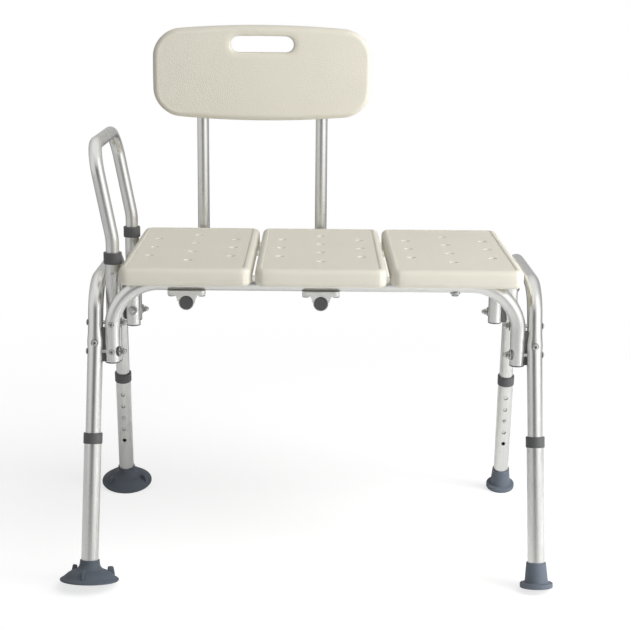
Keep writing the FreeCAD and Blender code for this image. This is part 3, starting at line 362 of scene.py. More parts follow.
def round_corners(x, y, half_x, half_y, corner):
    """A rectangle's grid drawn to rounded corners, and the distance in from its outline.

    In each corner's square the squares max(a, b) about the corner's centre become circles."""
    a = np.maximum(np.abs(x) - (half_x - corner), 0)
    b = np.maximum(np.abs(y) - (half_y - corner), 0)
    m = np.maximum(a, b)
    far = np.hypot(a, b)
    pull = np.where(far > 0, m / np.maximum(far, 1e-12), 1)
    return (np.sign(x) * (np.minimum(np.abs(x), half_x - corner) + a * pull),
            np.sign(y) * (np.minimum(np.abs(y), half_y - corner) + b * pull),
            np.minimum(half_x - np.abs(x), half_y - np.abs(y)))


def round_over(inset, radius):
    """How far a rounded edge has dropped at a distance in: radius - sqrt(radius^2 - (radius - inset)^2)."""
    t = np.clip(radius - inset, 0, radius)
    return radius - np.sqrt(np.maximum(radius ** 2 - t ** 2, 0))


def step(x, low, high):
    """A smooth step from 0 at low to 1 at high: t^2 (3 - 2 t) of the share t of the way."""
    t = np.clip((x - low) / (high - low), 0, 1)
    return t * t * (3 - 2 * t)


def edge_lines(half, radius, border):
    """Distances from the middle at which an edge's rounding and the border's step need a line."""
    swing = radius * (1 - np.sin(np.linspace(0, math.pi / 2, 9)))
    inset = np.concatenate([swing, border + np.array([-0.0007, -0.00035, 0, 0.00035, 0.0007, 0.0025])])
    return np.concatenate([half - inset, inset - half])


# Distances from a drain hole's middle at which the grid has a line
HOLE_LINES = np.array([0, 0.8, 1.55, 2.3, 3.0, 3.5, 4.2, 4.9, 5.5, 6.0, 6.5, 7.2, 8.2, 9.5]) / 1000


# Finishes

class Tone:
    """A value on its way through a finish. Sums and products of it add Math nodes."""

    def __init__(self, finish, socket):
        self.finish = finish
        self.socket = socket

    def work(self, operation, first, second=0.0):
        node = self.finish.node("ShaderNodeMath", {"operation": operation}, {0: first, 1: second})
        return Tone(self.finish, node.outputs[0])

    def __add__(self, other):
        return self.work("ADD", self, other)

    def __radd__(self, other):
        return self.work("ADD", other, self)

    def __sub__(self, other):
        return self.work("SUBTRACT", self, other)

    def __rsub__(self, other):
        return self.work("SUBTRACT", other, self)

    def __mul__(self, other):
        return self.work("MULTIPLY", self, other)

    def __rmul__(self, other):
        return self.work("MULTIPLY", other, self)

    def __truediv__(self, other):
        return self.work("DIVIDE", self, other)


class Nodes:
    """An empty node tree that is filled through one method."""

    def __init__(self, owner):
        owner.use_nodes = True
        self.tree = owner.node_tree
        self.tree.nodes.clear()

    def node(self, kind, settings=None, inputs=None):
        """A node of a kind, with its settings first and then the values or links of its sockets."""
        node = self.tree.nodes.new(kind)
        for key, value in (settings or {}).items():
            setattr(node, key, value)
        for key, value in (inputs or {}).items():
            self.feed(node.inputs[key], value)
        return node

    def feed(self, socket, value):
        """Link a value to a socket, or write it there."""
        value = value.socket if isinstance(value, Tone) else value
        if isinstance(value, bpy.types.NodeSocket):
            self.tree.links.new(value, socket)
        else:
            socket.default_value = value


class Finish(Nodes):
    """A material that is built up round one shader."""

    def __init__(self, name, colour, roughness, metallic=0.0, **plain):
        self.material = bpy.data.materials.new("finish_" + name)
        super().__init__(self.material)
        self.shader = self.node("ShaderNodeBsdfPrincipled", {}, {
            "Base Color": (*colour, 1), "Roughness": roughness, "Metallic": metallic, **plain})
        self.output = self.node("ShaderNodeOutputMaterial", {}, {0: self.shader.outputs[0]})
        self.material.diffuse_color = (*colour, 1)

    def place(self, scale=(1, 1, 1)):
        """Object coordinates times a scale."""
        source = self.node("ShaderNodeTexCoord").outputs["Object"]
        return self.node("ShaderNodeMapping", {}, {"Vector": source, "Scale": scale}).outputs[0]

    def along(self, scale):
        """A tube's own coordinates, two round it and one along it, times a scale."""
        source = self.node("ShaderNodeAttribute", {"attribute_name": "run"}).outputs["Vector"]
        return self.node("ShaderNodeMapping", {}, {"Vector": source, "Scale": scale}).outputs[0]

    def layer(self, name):
        """A value stored on the mesh."""
        return Tone(self, self.node("ShaderNodeAttribute", {"attribute_name": name}).outputs["Fac"])

    def noise(self, vector, scale, detail=2.0, roughness=0.5):
        """Smooth noise from 0 to 1."""
        node = self.node("ShaderNodeTexNoise", {}, {
            "Vector": vector, "Scale": scale, "Detail": detail, "Roughness": roughness})
        return Tone(self, node.outputs[0])

    def cells(self, vector, scale):
        """Soft-edged cells: the distance to the nearest of scattered points."""
        node = self.node("ShaderNodeTexVoronoi", {"feature": "SMOOTH_F1"}, {
            "Vector": vector, "Scale": scale, "Smoothness": 0.6})
        return Tone(self, node.outputs["Distance"])

    def span(self, value, low, high):
        """A smooth step of a value from 0 at low to 1 at high."""
        node = self.node("ShaderNodeMapRange", {"interpolation_type": "SMOOTHSTEP"}, {
            "Value": value, "From Min": low, "From Max": high})
        return Tone(self, node.outputs[0])

    def blend(self, factor, first, second):
        """From the first colour, plain or of another node, at 0 to the second at 1."""
        first = first if isinstance(first, bpy.types.NodeSocket) else (*first, 1)
        node = self.node("ShaderNodeMix", {"data_type": "RGBA"}, {0: factor, 6: first, 7: (*second, 1)})
        return node.outputs[2]

    def bump(self, height, distance, strength=1.0):
        """Feed the shader's normal from a height in units of the distance."""
        node = self.node("ShaderNodeBump", {}, {
            "Strength": strength, "Distance": distance, "Height": height})
        self.feed(self.shader.inputs["Normal"], node.outputs[0])

    def set(self, **values):
        """Feed sockets of the shader, named with underscores, and give back the material."""
        for key, value in values.items():
            self.feed(self.shader.inputs[key.replace("_", " ")], value)
        return self.material


def shade(colour, factor):
    """A colour made lighter or darker."""
    return tuple(min(1.0, c * factor) for c in colour)


def ivory_plastic(colours):
    """Blow-moulded plastic: a pebbled skin where the mesh says so, smooth borders and faint clouding.

    A parting line runs round the mouldings a quarter up from the lower or rear sheet. A layer on the mesh
    paints shade into the holes and at the foot of the border at its positive values, and paints a highlight
    on the border's ridge next to the field at its negative ones."""
    tone = tuple(colours.ivory)
    finish = Finish("ivory_plastic", tone, 0.5, 0.0, **{"IOR": 1.45})
    spot = finish.place()
    pebble = finish.cells(spot, 520.0) + finish.noise(spot, 900.0, 3.0) * 0.5
    cloud = finish.noise(spot, 9.0, 3.0)
    skin = finish.layer("pebble")
    off = finish.layer("sheet") - 0.26
    off = off.work("ABSOLUTE", off)
    seam = off.work("LESS_THAN", off, 0.035)
    finish.bump(pebble * skin + finish.noise(spot, 45.0, 1.0) * 0.25 + seam * 0.5, 0.0004, 0.8)
    plain = finish.blend(cloud * 0.5 + pebble * 0.4 * skin - seam * 0.5,
                         shade(tone, 0.955), shade(tone, 1.035))
    # Painted highlight: the border's ridge next to the field is lightened where the layer is negative.
    painted_crest_highlight = finish.span(finish.layer("deep") * -1, 0.05, 1.0)
    plain = finish.blend(painted_crest_highlight, plain, shade(tone, 1.13))
    # Painted shade: the holes and the foot of the border are darkened where the layer is positive.
    return finish.set(Base_Color=finish.blend(finish.layer("deep"), plain, shade(tone, 0.12)),
                      Roughness=0.46 + skin * 0.12 + cloud * 0.05)


def aluminium_tube(colours):
    """Satin drawn aluminium: fine streaks along the tube, and painted shade in and round its holes."""
    tone = tuple(colours.aluminium)
    finish = Finish("aluminium_tube", tone, 0.24, 1.0)
    streak = finish.noise(finish.along((26.0, 26.0, 5.0)), 1.0, 4.0, 0.65)
    cloud = finish.noise(finish.place(), 30.0, 3.0)
    finish.bump(streak, 0.00004, 0.5)
    plain = finish.blend(streak * 0.7 + cloud * 0.3, shade(tone, 0.93), shade(tone, 1.05))
    # Painted shade: the base colour darkens in and round the holes where the mesh's layer says so.
    return finish.set(Base_Color=finish.blend(finish.layer("deep") * 0.8, plain, shade(tone, 0.12)),
                      Roughness=0.20 + streak * 0.12 + cloud * 0.05)


def aluminium_plate(colours):
    """Satin sheet aluminium with a fine tumbled grain."""
    tone = tuple(colours.aluminium)
    finish = Finish("aluminium_plate", tone, 0.5, 0.65)
    grain = finish.noise(finish.place(), 700.0, 3.0)
    finish.bump(grain, 0.00004, 0.5)
    return finish.set(Base_Color=finish.blend(grain, tone, shade(tone, 1.1)),
                      Roughness=0.44 + grain * 0.16)


def dark_plastic(colours):
    """Dark injection-moulded plastic with a fine spark-eroded grain."""
    tone = tuple(colours.dark)
    finish = Finish("dark_plastic", tone, 0.48)
    grain = finish.noise(finish.place(), 1500.0, 2.0)
    cloud = finish.noise(finish.place(), 60.0, 2.0)
    finish.bump(grain, 0.00006, 0.5)
    return finish.set(Base_Color=finish.blend(cloud, shade(tone, 0.88), shade(tone, 1.12)),
                      Roughness=0.42 + grain * 0.12)


def fastener_steel(colours):
    """Zinc-plated steel, a little dulled in patches, with painted shade where the mesh says so."""
    tone = tuple(colours.steel)
    finish = Finish("fastener_steel", tone, 0.28, 1.0)
    cloud = finish.noise(finish.place(), 260.0, 3.0)
    crease = finish.layer("crease")
    finish.bump(cloud, 0.00003, 0.4)
    # Painted shade: where parts meet and in the recess the steel is darkened, duller and rougher.
    plain = cloud * 0.12 + crease * 0.88
    return finish.set(Base_Color=finish.blend(plain, shade(tone, 1.06), shade(tone, 0.10)),
                      Metallic=1 - crease * 0.8, Roughness=0.22 + cloud * 0.12 + crease * 0.3)


def grey_rubber(colours, name="grey_rubber", depth=1.0):
    """Soft blue-grey rubber with a dull bloom and fine mould grain; a depth below 1 darkens it all as
    painted shade.
    """
    tone = shade(colours.rubber, depth)
    finish = Finish(name, tone, 0.62)
    grain = finish.noise(finish.place(), 1100.0, 3.0)
    bloom = finish.noise(finish.place(), 55.0, 3.0)
    finish.bump(grain + bloom * 0.8, 0.0001, 0.5)
    patch = bloom * 0.8 + grain * 0.2
    return finish.set(Base_Color=finish.blend(patch, shade(tone, 0.88), shade(tone, 1.15)),
                      Roughness=0.55 + bloom * 0.14)


def cup_rubber_painted_shade(colours):
    """The grey rubber darkened to 0.66 for the suction cups: painted shade, as their upturned faces catch
    more light.
    """
    return grey_rubber(colours, "cup_rubber_painted_shade", 0.66)


FINISHES = {item.__name__: item for item in (
    ivory_plastic, aluminium_tube, aluminium_plate, dark_plastic, fastener_steel, grey_rubber, cup_rubber_painted_shade)}


def finish_of(context, name):
    """The material of a finish, made when it is first asked for."""
    if "finish_" + name not in bpy.data.materials:
        FINISHES[name](context.scene.bench_colours)
    return bpy.data.materials["finish_" + name]


def dress(context, piece, body, finish, *nodes):
    """Give a piece its finish, its body and the solids that it stands for."""
    piece.data.materials.append(finish_of(context, finish))
    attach(piece, body)
    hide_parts(*nodes)


def paint(context, node, finish):
    """Give a solid that stays as it is its finish."""
    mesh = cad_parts[node].data
    mesh.materials.clear()
    mesh.materials.append(finish_of(context, finish))


# Pieces

def moulded(name, keep, sheets, skin, **layers):
    """A hollow moulding's skin: its two sheets on one grid, with their pebbles, joined at every edge."""
    layers.update(pebble=np.stack(skin), sheet=np.stack([0 * skin[0] + 1, 0 * skin[0]]))
    points, faces, layers = trimmed(np.stack(sheets).reshape(-1, 3), two_sided(keep),
                                    **{key: values.reshape(-1) for key, values in layers.items()})
    return finish_mesh(name, points, faces, 40.0, **layers)


class BENCH_OT_seat(bpy.types.Operator):
    """Mould the three seat panels: round edges, a sunk field, drain dishes and grooves for the rails"""
    bl_idname = "bench.seat"
    bl_label = "Seat panels"

    def execute(self, context):
        # The upper sheet is the panel's top less the edge's rounding, the field sunk within the border, a
        # dish round each hole (its depth times the share of the way in, to the power 1.15) and a sag of
        # two crossed sines. The lower sheet is round at its edges and arched over each rail by a circle.
        size = context.scene.bench_sizes
        hole, sink = size.drain_hole / 2, size.drain_sink / 2
        field_depth, dish_depth, dish_reach, sag = 0.0009, 0.0038, 0.0095, 0.0003
        rails, rail_height, rail_groove = RAIL_REACH / 1000, RAIL_TOP / 1000, 0.0129
        near = np.concatenate([-HOLE_LINES[::-1], HOLE_LINES])
        groove = rail_groove * np.sin(np.linspace(-1, 1, 17) * math.pi / 2)
        for name in ("left", "centre", "right"):
            low, high = (np.array(p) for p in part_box("seat_panel_" + name))
            half = (high - low)[:2] / 2
            middle = (high + low)[:2] / 2
            wide, long = half * 2
            drains = [(c * wide, r * long) for c in (-0.32, 0.32) for r in (-0.2, 0, 0.2)]
            drains += [(0, r * long) for r in (-0.3, -0.1, 0.1, 0.3)]
            xs = lines(-half[0], half[0], [edge_lines(half[0], size.panel_round, size.border),
                                           near - 0.32 * wide, near, near + 0.32 * wide], 0.009)
            ys = lines(-half[1], half[1], [edge_lines(half[1], size.panel_round, size.border)]
                       + [near + r * long for r in (-0.3, -0.2, -0.1, 0, 0.1, 0.2, 0.3)]
                       + [groove - rails, groove + rails], 0.009)
            u, v, keep = pierced_grid(xs, ys, [(x, y, 0, hole, dish_reach) for x, y in drains])
            x, y, inset = round_corners(u, v, *half, size.panel_corner)
            inset = np.maximum(inset, 0)
            field = step(inset, size.border - 0.0007, size.border + 0.0007)
            top = high[2] - round_over(inset, size.panel_round) - field_depth * field
            past = inset - size.border
            # Painted shade in a band at the foot of the border's step, then a painted highlight, as
            # negative values, on the border's ridge beside it.
            deep = 0.25 * step(past, 0, 0.0003) * (1 - step(past, 0.0007, 0.0025))
            deep = deep - step(past, -0.0044, -0.0025) * (1 - step(past, -0.0004, 0))
            for hx, hy in drains:
                far = np.hypot(u - hx, v - hy)
                dish = np.clip((sink - far) / (sink - hole), 0, 1)
                top = top - dish_depth * dish ** 1.15 * (far < dish_reach)
                field = field * step(far, sink - 0.0006, sink + 0.0005)
                # Painted shade in each drain hole and on its rim.
                deep = np.maximum(deep, 1 - step(far, hole + 0.0001, hole + 0.0009))
            wave = np.sin(x * 31 + y * 17 + middle[0] * 40) * np.sin(y * 23)
            top = top - sag * (1 + wave) * step(inset, 0.015, 0.05)
            bottom = low[2] + round_over(inset, 0.009)
            for sign in (-1, 1):
                off = np.abs(v - sign * rails)
                arch = np.sqrt(np.maximum(rail_groove ** 2 - off ** 2, 0)) + rail_height
                bottom = np.where(off < rail_groove, np.maximum(bottom, arch), bottom)
            sheets = [np.stack([x + middle[0], y + middle[1], z], -1) for z in (top, bottom)]
            # The lower sheet keeps only the strong painted shade of the holes.
            piece = moulded("seat_moulding_" + name, keep, sheets, (0.12 + 0.88 * field, 0 * field + 0.3),
                            deep=np.stack([deep, deep * (deep > 0.3)]))
            dress(context, piece, "frame", "ivory_plastic", "seat_panel_" + name)
        return {"FINISHED"}


class BENCH_OT_back(bpy.types.Operator):
    """Mould the back panel: bowed edges, a hand slot with a rolled lip and grooves for its two tubes"""
    bl_idname = "bench.back"
    bl_label = "Back panel"

    def execute(self, context):
        # The outline is bowed: its half width and height grow by a bow times 1 - (share along the side)^2.
        # Both sheets are rounded at the outline and at the slot's lip. The front is sunk a little round
        # the slot and waves by two crossed sines, and the rear is arched in over each tube by a circle.
        size = context.scene.bench_sizes
        low, high = (np.array(p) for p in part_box("back_panel"))
        middle = (low + high) / 2
        side_bow, end_bow = 0.002, 0.011
        wide = (high - low)[0] / 2 - side_bow
        tall = (high - low)[2] / 2 - end_bow
        slot_run, slot_half, slot_up, slot_reach = 0.043, 0.015, 0.0525, 0.0245
        beside = np.array([0, 0.4, 1, 2, 3, 4.2, 5.5, 7, 9, 12]) / 1000
        rim = np.concatenate([slot_half + beside, [0, 0.005, 0.010, 0.013]])
        tubes = np.array([-0.11105, 0.11105])
        tube_groove, tube_line, groove_top = 0.0113, 0.225, 0.8705 - middle[2]
        groove = tube_groove * np.sin(np.linspace(-1, 1, 15) * math.pi / 2)
        front_round = 0.0095
        bow = 1 + end_bow / tall
        xs = lines(-wide, wide, [edge_lines(wide, front_round, 0.012), slot_run + rim, -slot_run - rim,
                                 groove + tubes[0], groove + tubes[1]], 0.006)
        tube_lift = 0.961       # how far the bow lifts the outline at the tubes, next to the middle
        groove_line = groove_top / (tube_lift + np.array([0.001, -0.001]))
        zs = lines(-tall * bow, tall * bow, [edge_lines(tall, front_round, 0.012) * bow,
                                             slot_up + rim, slot_up - rim, groove_line], 0.006)
        u, v, keep = pierced_grid(xs, zs, [(0, slot_up, slot_run, slot_half, slot_reach)])
        x, z, inset = round_corners(u, v / bow, wide, tall, size.back_corner)
        lift = (tall + end_bow * (1 - (x / wide) ** 2)) / tall
        spread = (wide + side_bow * (1 - (z / tall) ** 2)) / wide
        inset = np.maximum(inset, 0)
        lip = np.hypot(np.maximum(np.abs(u) - slot_run, 0), v - slot_up) - slot_half
        lip = np.maximum(lip, 0)
        front = low[1] + round_over(inset, front_round) + round_over(lip, 0.0045)
        front = front + 0.0008 * (1 - step(lip, 0.004, 0.011))
        front = np.maximum(front + 0.0003 * np.sin(x * 24) * np.sin(z * 33 + 1), low[1])
        rear = high[1] - round_over(inset, 0.006) - round_over(lip, 0.004)
        for tube in tubes:
            off = np.abs(u - tube)
            arch = tube_line - np.sqrt(np.maximum(tube_groove ** 2 - off ** 2, 0))
            rear = np.where((off < tube_groove) & (z * lift < groove_top), np.minimum(rear, arch), rear)
        sheets = [np.stack([x * spread + middle[0], y, z * lift + middle[2]], -1) for y in (front, rear)]
        field = step(inset, 0.003, 0.009) * step(lip, 0.003, 0.008)
        piece = moulded("back_moulding", keep, sheets, (0.15 + 0.85 * field, 0 * field + 0.6))
        dress(context, piece, "backrest", "ivory_plastic", "back_panel")
        return {"FINISHED"}


class BENCH_OT_frame_tubes(bpy.types.Operator):
    """Draw the frame's tubes: two end frames, flattened at their cross screws, and two rails"""
    bl_idname = "bench.frame_tubes"
    bl_label = "Frame tubes"

    def execute(self, context):
        size = context.scene.bench_sizes
        radius = size.frame_tube / 2
        for name, side in SIDES.items():
            corners = [leg_point(side, -1, h) for h in (FRAME_END, CROSS_SCREW, FRAME_TOP)]
            corners += [leg_point(side, 1, h) for h in (FRAME_TOP, CROSS_SCREW, FRAME_END)]
            pinches = [(leg_point(side, end, CROSS_SCREW), 0.0009, 0.010) for end in (-1, 1)]
            piece = drawn_tube("end_tube_" + name, corners, (0.3, 0.06, 0.06, 0.3), radius,
                               radius - size.frame_wall, (1, 0, 0), pinches)
            dress(context, piece, "frame", "aluminium_tube", "end_frame_" + name)
        for name, end in ENDS.items():
            corners = [place(x, end * RAIL_REACH, z) for x, z in (
                (-RAIL_HALF, RAIL_END), (-RAIL_HALF, RAIL_TOP), (RAIL_HALF, RAIL_TOP),
                (RAIL_HALF, RAIL_END))]
            piece = drawn_tube("rail_tube_" + name, corners, (0.08, 0.08), radius,
                               radius - size.frame_wall, (0, 1, 0))
            dress(context, piece, "frame", "aluminium_tube", name + "_rail")
        return {"FINISHED"}


class BENCH_OT_handle(bpy.types.Operator):
    """Draw the side handle, its two sockets and their collars"""
    bl_idname = "bench.handle"
    bl_label = "Side handle"

    def execute(self, context):
        size = context.scene.bench_sizes
        radius = size.inner_tube / 2
        lean = (HANDLE_TOP - HANDLE_BEND) * math.tan(math.radians(10.8))
        half = [(0, HANDLE_END), (0, HANDLE_BEND), (lean, HANDLE_TOP)]
        corners = [place(-RAIL_HALF - x, -SOCKET_REACH, z) for x, z in half]
        corners += [place(-RAIL_HALF - x, SOCKET_REACH, z) for x, z in half[::-1]]
        piece = drawn_tube("handle_tube", corners, (0.08, 0.048, 0.048, 0.08), radius,
                           radius - size.inner_wall, (1, 0, 0))
        dress(context, piece, "handle", "aluminium_tube", "grab_handle")
        outer, bore = size.frame_tube / 2, radius + PLAY
        collar = rounded([(outer, -0.019), (0.0153, -0.019), (0.0153, 0), (bore, 0),
                          (bore, -COLLAR_LIP), (outer, -COLLAR_LIP)], 0.0011)
        for name, end in ENDS.items():
            ends = [place(-RAIL_HALF, end * SOCKET_REACH, z) for z in (SOCKET_END, SOCKET_MOUTH)]
            piece = drawn_tube("socket_tube_" + name, ends, (), outer, bore, (1, 0, 0))
            dress(context, piece, "frame", "aluminium_tube", "handle_socket_" + name)
            spot = place(-RAIL_HALF, end * SOCKET_REACH, SOCKET_TOP)
            piece = turned_ring("socket_collar_" + name, collar, spot, (0, 0, 1))
            dress(context, piece, "frame", "dark_plastic", "socket_collars")
        return {"FINISHED"}


class BENCH_OT_back_tubes(bpy.types.Operator):
    """Draw the two back tubes and the receivers under the rails that hold them"""
    bl_idname = "bench.back_tubes"
    bl_label = "Back tubes"

    def execute(self, context):
        size = context.scene.bench_sizes
        radius = size.inner_tube / 2
        for name, x in (("left", -213.1), ("right", 9.0)):
            corners = [place(x, y, z) for y, z in (
                (BACK_END, RECEIVER), (BACK_REACH, RECEIVER), (BACK_REACH, BACK_TOP))]
            piece = drawn_tube("back_upright_" + name, corners, (0.05,), radius,
                               radius - size.inner_wall, (1, 0, 0))
            dress(context, piece, "backrest", "aluminium_tube", "back_tube_" + name)
            ends = [place(x, y, RECEIVER) for y in (-RECEIVER_HALF, RECEIVER_HALF)]
            piece = drawn_tube("receiver_tube_" + name, ends, (), size.frame_tube / 2, radius + PLAY,
                               (1, 0, 0))
            dress(context, piece, "frame", "aluminium_tube", "back_receiver_" + name)
        return {"FINISHED"}


class BENCH_OT_legs(bpy.types.Operator):
    """Draw the four lower legs with their two rows of height holes, and turn their collars"""
    bl_idname = "bench.legs"
    bl_label = "Lower legs"

    def execute(self, context):
        # A grid of the distances round and up is wrapped to a cylinder on the leg's axis, at the outer
        # radius and again at the bore, and the cells inside the holes are left out.
        size = context.scene.bench_sizes
        radius = size.leg_tube / 2
        bore = size.frame_tube / 2 + PLAY
        pitch = size.hole_pitch
        hole = 0.0035
        collar = rounded([(radius, -0.018), (0.0158, -0.018), (0.0158, 0), (bore, 0),
                          (bore, -COLLAR_LIP), (radius, -COLLAR_LIP)], 0.0011)
        near = np.array([0, 0.9, 1.8, 2.7, 3.5, 3.9, 4.6, 5.5, 6.35]) / 1000
        near = np.concatenate([-near[::-1], near])
        turn = TAU * radius
        for end_name, end in ENDS.items():
            for side_name, side in SIDES.items():
                axis, inward, sideways = leg_frame(side, end)
                low = leg_point(side, end, LEG_FOOT)
                top = leg_point(side, end, COLLAR_TOP) - axis * COLLAR_LIP
                button = np.dot(leg_point(side, end, LEG_BUTTON) - low, axis)
                tall = np.dot(top - low, axis)
                holes = [(turn / 2, button - k * pitch) for k in range(-2, 3)]
                holes += [(turn * 0.75, button - (k - 0.5) * pitch) for k in range(-2, 4)]
                us = lines(0, turn, [near + turn / 2, near + turn * 0.75], 0.0035)
                vs = lines(0, tall, [near + v for _, v in holes], 0.006)
                u, v, keep = pierced_grid(us, vs, [(hu, hv, 0, hole, 0.0063) for hu, hv in holes])
                u, v = u[:-1], v[:-1]
                angle = u / turn * TAU
                ring = -inward * np.cos(angle)[..., None] - sideways * np.sin(angle)[..., None]
                flip = np.dot(np.cross(inward, sideways), axis) > 0
                spine = low + axis * v[..., None]
                points = np.stack([spine + ring * radius, spine + ring * bore]).reshape(-1, 3)
                flow = np.stack([np.cos(angle), np.sin(angle), v], -1).reshape(-1, 3)
                faces = two_sided(keep, wrap=True)
                faces = faces if flip else faces[:, ::-1]
                # Painted shade in and round each height hole.
                deep = np.zeros(u.shape)
                for hu, hv in holes:
                    far = np.hypot(u - hu, v - hv)
                    deep = np.maximum(deep, 1 - step(far, hole + 0.0001, hole + 0.0006))
                points, faces, layers = trimmed(points, faces, run=np.concatenate([flow, flow]),
                                                deep=np.concatenate([deep, deep]).reshape(-1))
                name = end_name + "_" + side_name
                piece = finish_mesh("leg_tube_" + name, points, faces, 40.0, **layers)
                dress(context, piece, "leg_" + name, "aluminium_tube", "lower_leg_" + name)
                piece = turned_ring("leg_ring_" + name, collar, leg_point(side, end, COLLAR_TOP), axis)
                dress(context, piece, "leg_" + name, "dark_plastic", "leg_collar_" + name)
        return {"FINISHED"}


def foot_frame(side, end, width):
    """The middle of a foot's slanted face, and the foot's directions: across, ahead and up its leg.

    The face is square to the leg, and so high that its lowest edge meets the floor."""
    axis = leg_frame(side, end)[0]
    across = unit(np.array([1.0, 0, 0]) - axis * axis[0])
    middle = leg_point(side, end, 500 * width * math.sqrt(1 - axis[2] ** 2))
    return middle, np.array([across, np.cross(axis, across), axis])


def foot_body(name, profile, place_in, sides=128):
    """A pole-to-pole profile turned round the leg: the face's middle + height up the leg + radius out."""
    middle, ways = place_in
    profile = np.asarray(profile, float)
    angle = np.arange(sides) * TAU / sides
    radius, height = profile[1:-1, :1], profile[1:-1, 1:]
    body = np.stack([radius * np.cos(angle), radius * np.sin(angle), height + 0 * angle], -1)
    local = np.concatenate([[[0, 0, profile[0, 1]]], body.reshape(-1, 3), [[0, 0, profile[-1, 1]]]])
    return finish_mesh(name, middle + local @ ways, capped_rings(len(profile) - 2, sides), 50.0)


class BENCH_OT_feet(bpy.types.Operator):
    """Mould the feet: suction cups with pull tabs on the left, flared tips on the right"""
    bl_idname = "bench.feet"
    bl_label = "Feet"

    def execute(self, context):
        radius = context.scene.bench_sizes.leg_tube / 2
        bell = curve([(48.8, 1.6), (48.6, 2.6), (46.4, 4.2), (43.0, 6.3), (39.4, 9.4), (35.7, 12.6),
                      (30.0, 15.9), (24.0, 18.2), (19.5, 21.6), (17.2, 26.0), (16.5, 30.0)], 44)
        cup = [(0, 5), (12, 4.7), (26, 3.6), (36, 1.8), (41.2, 0.2), (42.0, 0), (48.0, 0), (48.5, 0.3),
               (48.8, 0.9)] + bell
        cup += [(16.3, 31.4), (16.4, 33.6), (16.2, 34.3), (15.7, 34.5), (14.9, 34.4), (14.5, 33.9)]
        tip = [(0, 2), (16, 2), (16.6, 0.5), (17.5, 0), (26.3, 0), (27.0, 0.3), (27.3, 1.0), (27.3, 6.4),
               (27.1, 7.3), (26.4, 8.0), (25.2, 8.2), (20.6, 8.3), (19.6, 8.9), (19.3, 10), (18.2, 22),
               (16.7, 38), (16.4, 41.2), (16.1, 41.8), (15.6, 42), (14.8, 41.9), (14.5, 41.5)]
        for end_name, end in ENDS.items():
            for side, stem, width, outline, foot in ((-1, "cup_", 0.0978, cup, "suction_foot_"),
                                                     (1, "tip_", 0.0546, tip, "rubber_tip_")):
                there = foot_frame(side, end, width)
                seat = np.dot(leg_point(side, end, LEG_FOOT) - there[0], there[1][2])
                profile = np.array(outline) / 1000
                socket = [(radius, profile[-1, 1] - 0.0006), (radius, seat + 0.0002), (0.008, seat),
                          (0, seat)]
                piece = foot_body(stem + end_name, np.concatenate([profile, socket]), there)
                body = "leg_" + end_name + ("_left" if side < 0 else "_right")
                # The suction cups take the rubber darkened as painted shade; the tips take it plain.
                rubber = "cup_rubber_painted_shade" if side < 0 else "grey_rubber"
                dress(context, piece, body, rubber, foot + end_name)
                for k in range(3 if side < 0 else 0):
                    angle = math.radians(22 if end < 0 else -20) + k * TAU / 3
                    tab = pull_tab("cup_tab_%s_%d" % (end_name, k), there, angle)
                    dress(context, tab, body, rubber, foot + end_name)
        return {"FINISHED"}


def curve(points, count):
    """A smooth line of so many points through the given ones: cubic spans, tangents from neighbours."""
    points = np.asarray(points, float)
    slope = np.gradient(points, axis=0)
    t = np.linspace(0, len(points) - 1, count)
    i = np.minimum(t.astype(int), len(points) - 2)
    f = (t - i)[:, None]
    weights = (2 * f ** 3 - 3 * f ** 2 + 1, f ** 3 - 2 * f ** 2 + f,
               3 * f ** 2 - 2 * f ** 3, f ** 3 - f ** 2)
    parts = (points[i], slope[i], points[i + 1], slope[i + 1])
    return [tuple(p) for p in sum(w * p for w, p in zip(weights, parts))]


def pull_tab(name, there, angle, sides=48):
    """An upright ear on a cup: a rounded rectangle from 30 to 42 mm out, narrower and rounded at its top.

    Its outline is a superellipse in plan, |r|^5 + |s|^5 = 1, scaled by a profile of its height."""
    level = np.array([3.0, 6.0, 10.0, 14.0, 18.0, 20.0, 21.2, 21.8, 22.0]) / 1000
    inner = np.array([30.0, 30.0, 30.0, 30.3, 30.6, 30.8, 31.2, 32.2, 34.0]) / 1000
    outer = np.array([43.0, 43.0, 42.9, 42.0, 41.1, 40.5, 39.8, 38.4, 36.4]) / 1000
    thick = np.array([2.1, 2.0, 1.8, 1.7, 1.6, 1.5, 1.3, 0.9, 0.4]) / 1000
    turn = np.arange(sides) * TAU / sides
    ahead, aside = np.cos(turn), np.sin(turn)
    far = (np.abs(ahead) ** 5 + np.abs(aside) ** 5) ** -0.2
    out = (inner + outer)[:, None] / 2 + (outer - inner)[:, None] / 2 * ahead * far
    side = thick[:, None] * aside * far
    c, s = math.cos(angle), math.sin(angle)
    turned = np.array([[c, s, 0], [-s, c, 0], [0, 0, 1]])
    rings = np.stack([out, side, np.broadcast_to(level[:, None], out.shape)], -1).reshape(-1, 3)
    local = np.concatenate([[[0.036, 0, level[0]]], rings, [[0.035, 0, level[-1]]]])
    middle, ways = there
    return finish_mesh(name, middle + local @ turned @ ways, capped_rings(len(level), sides), 50.0)


STEEL_SIDES = 48


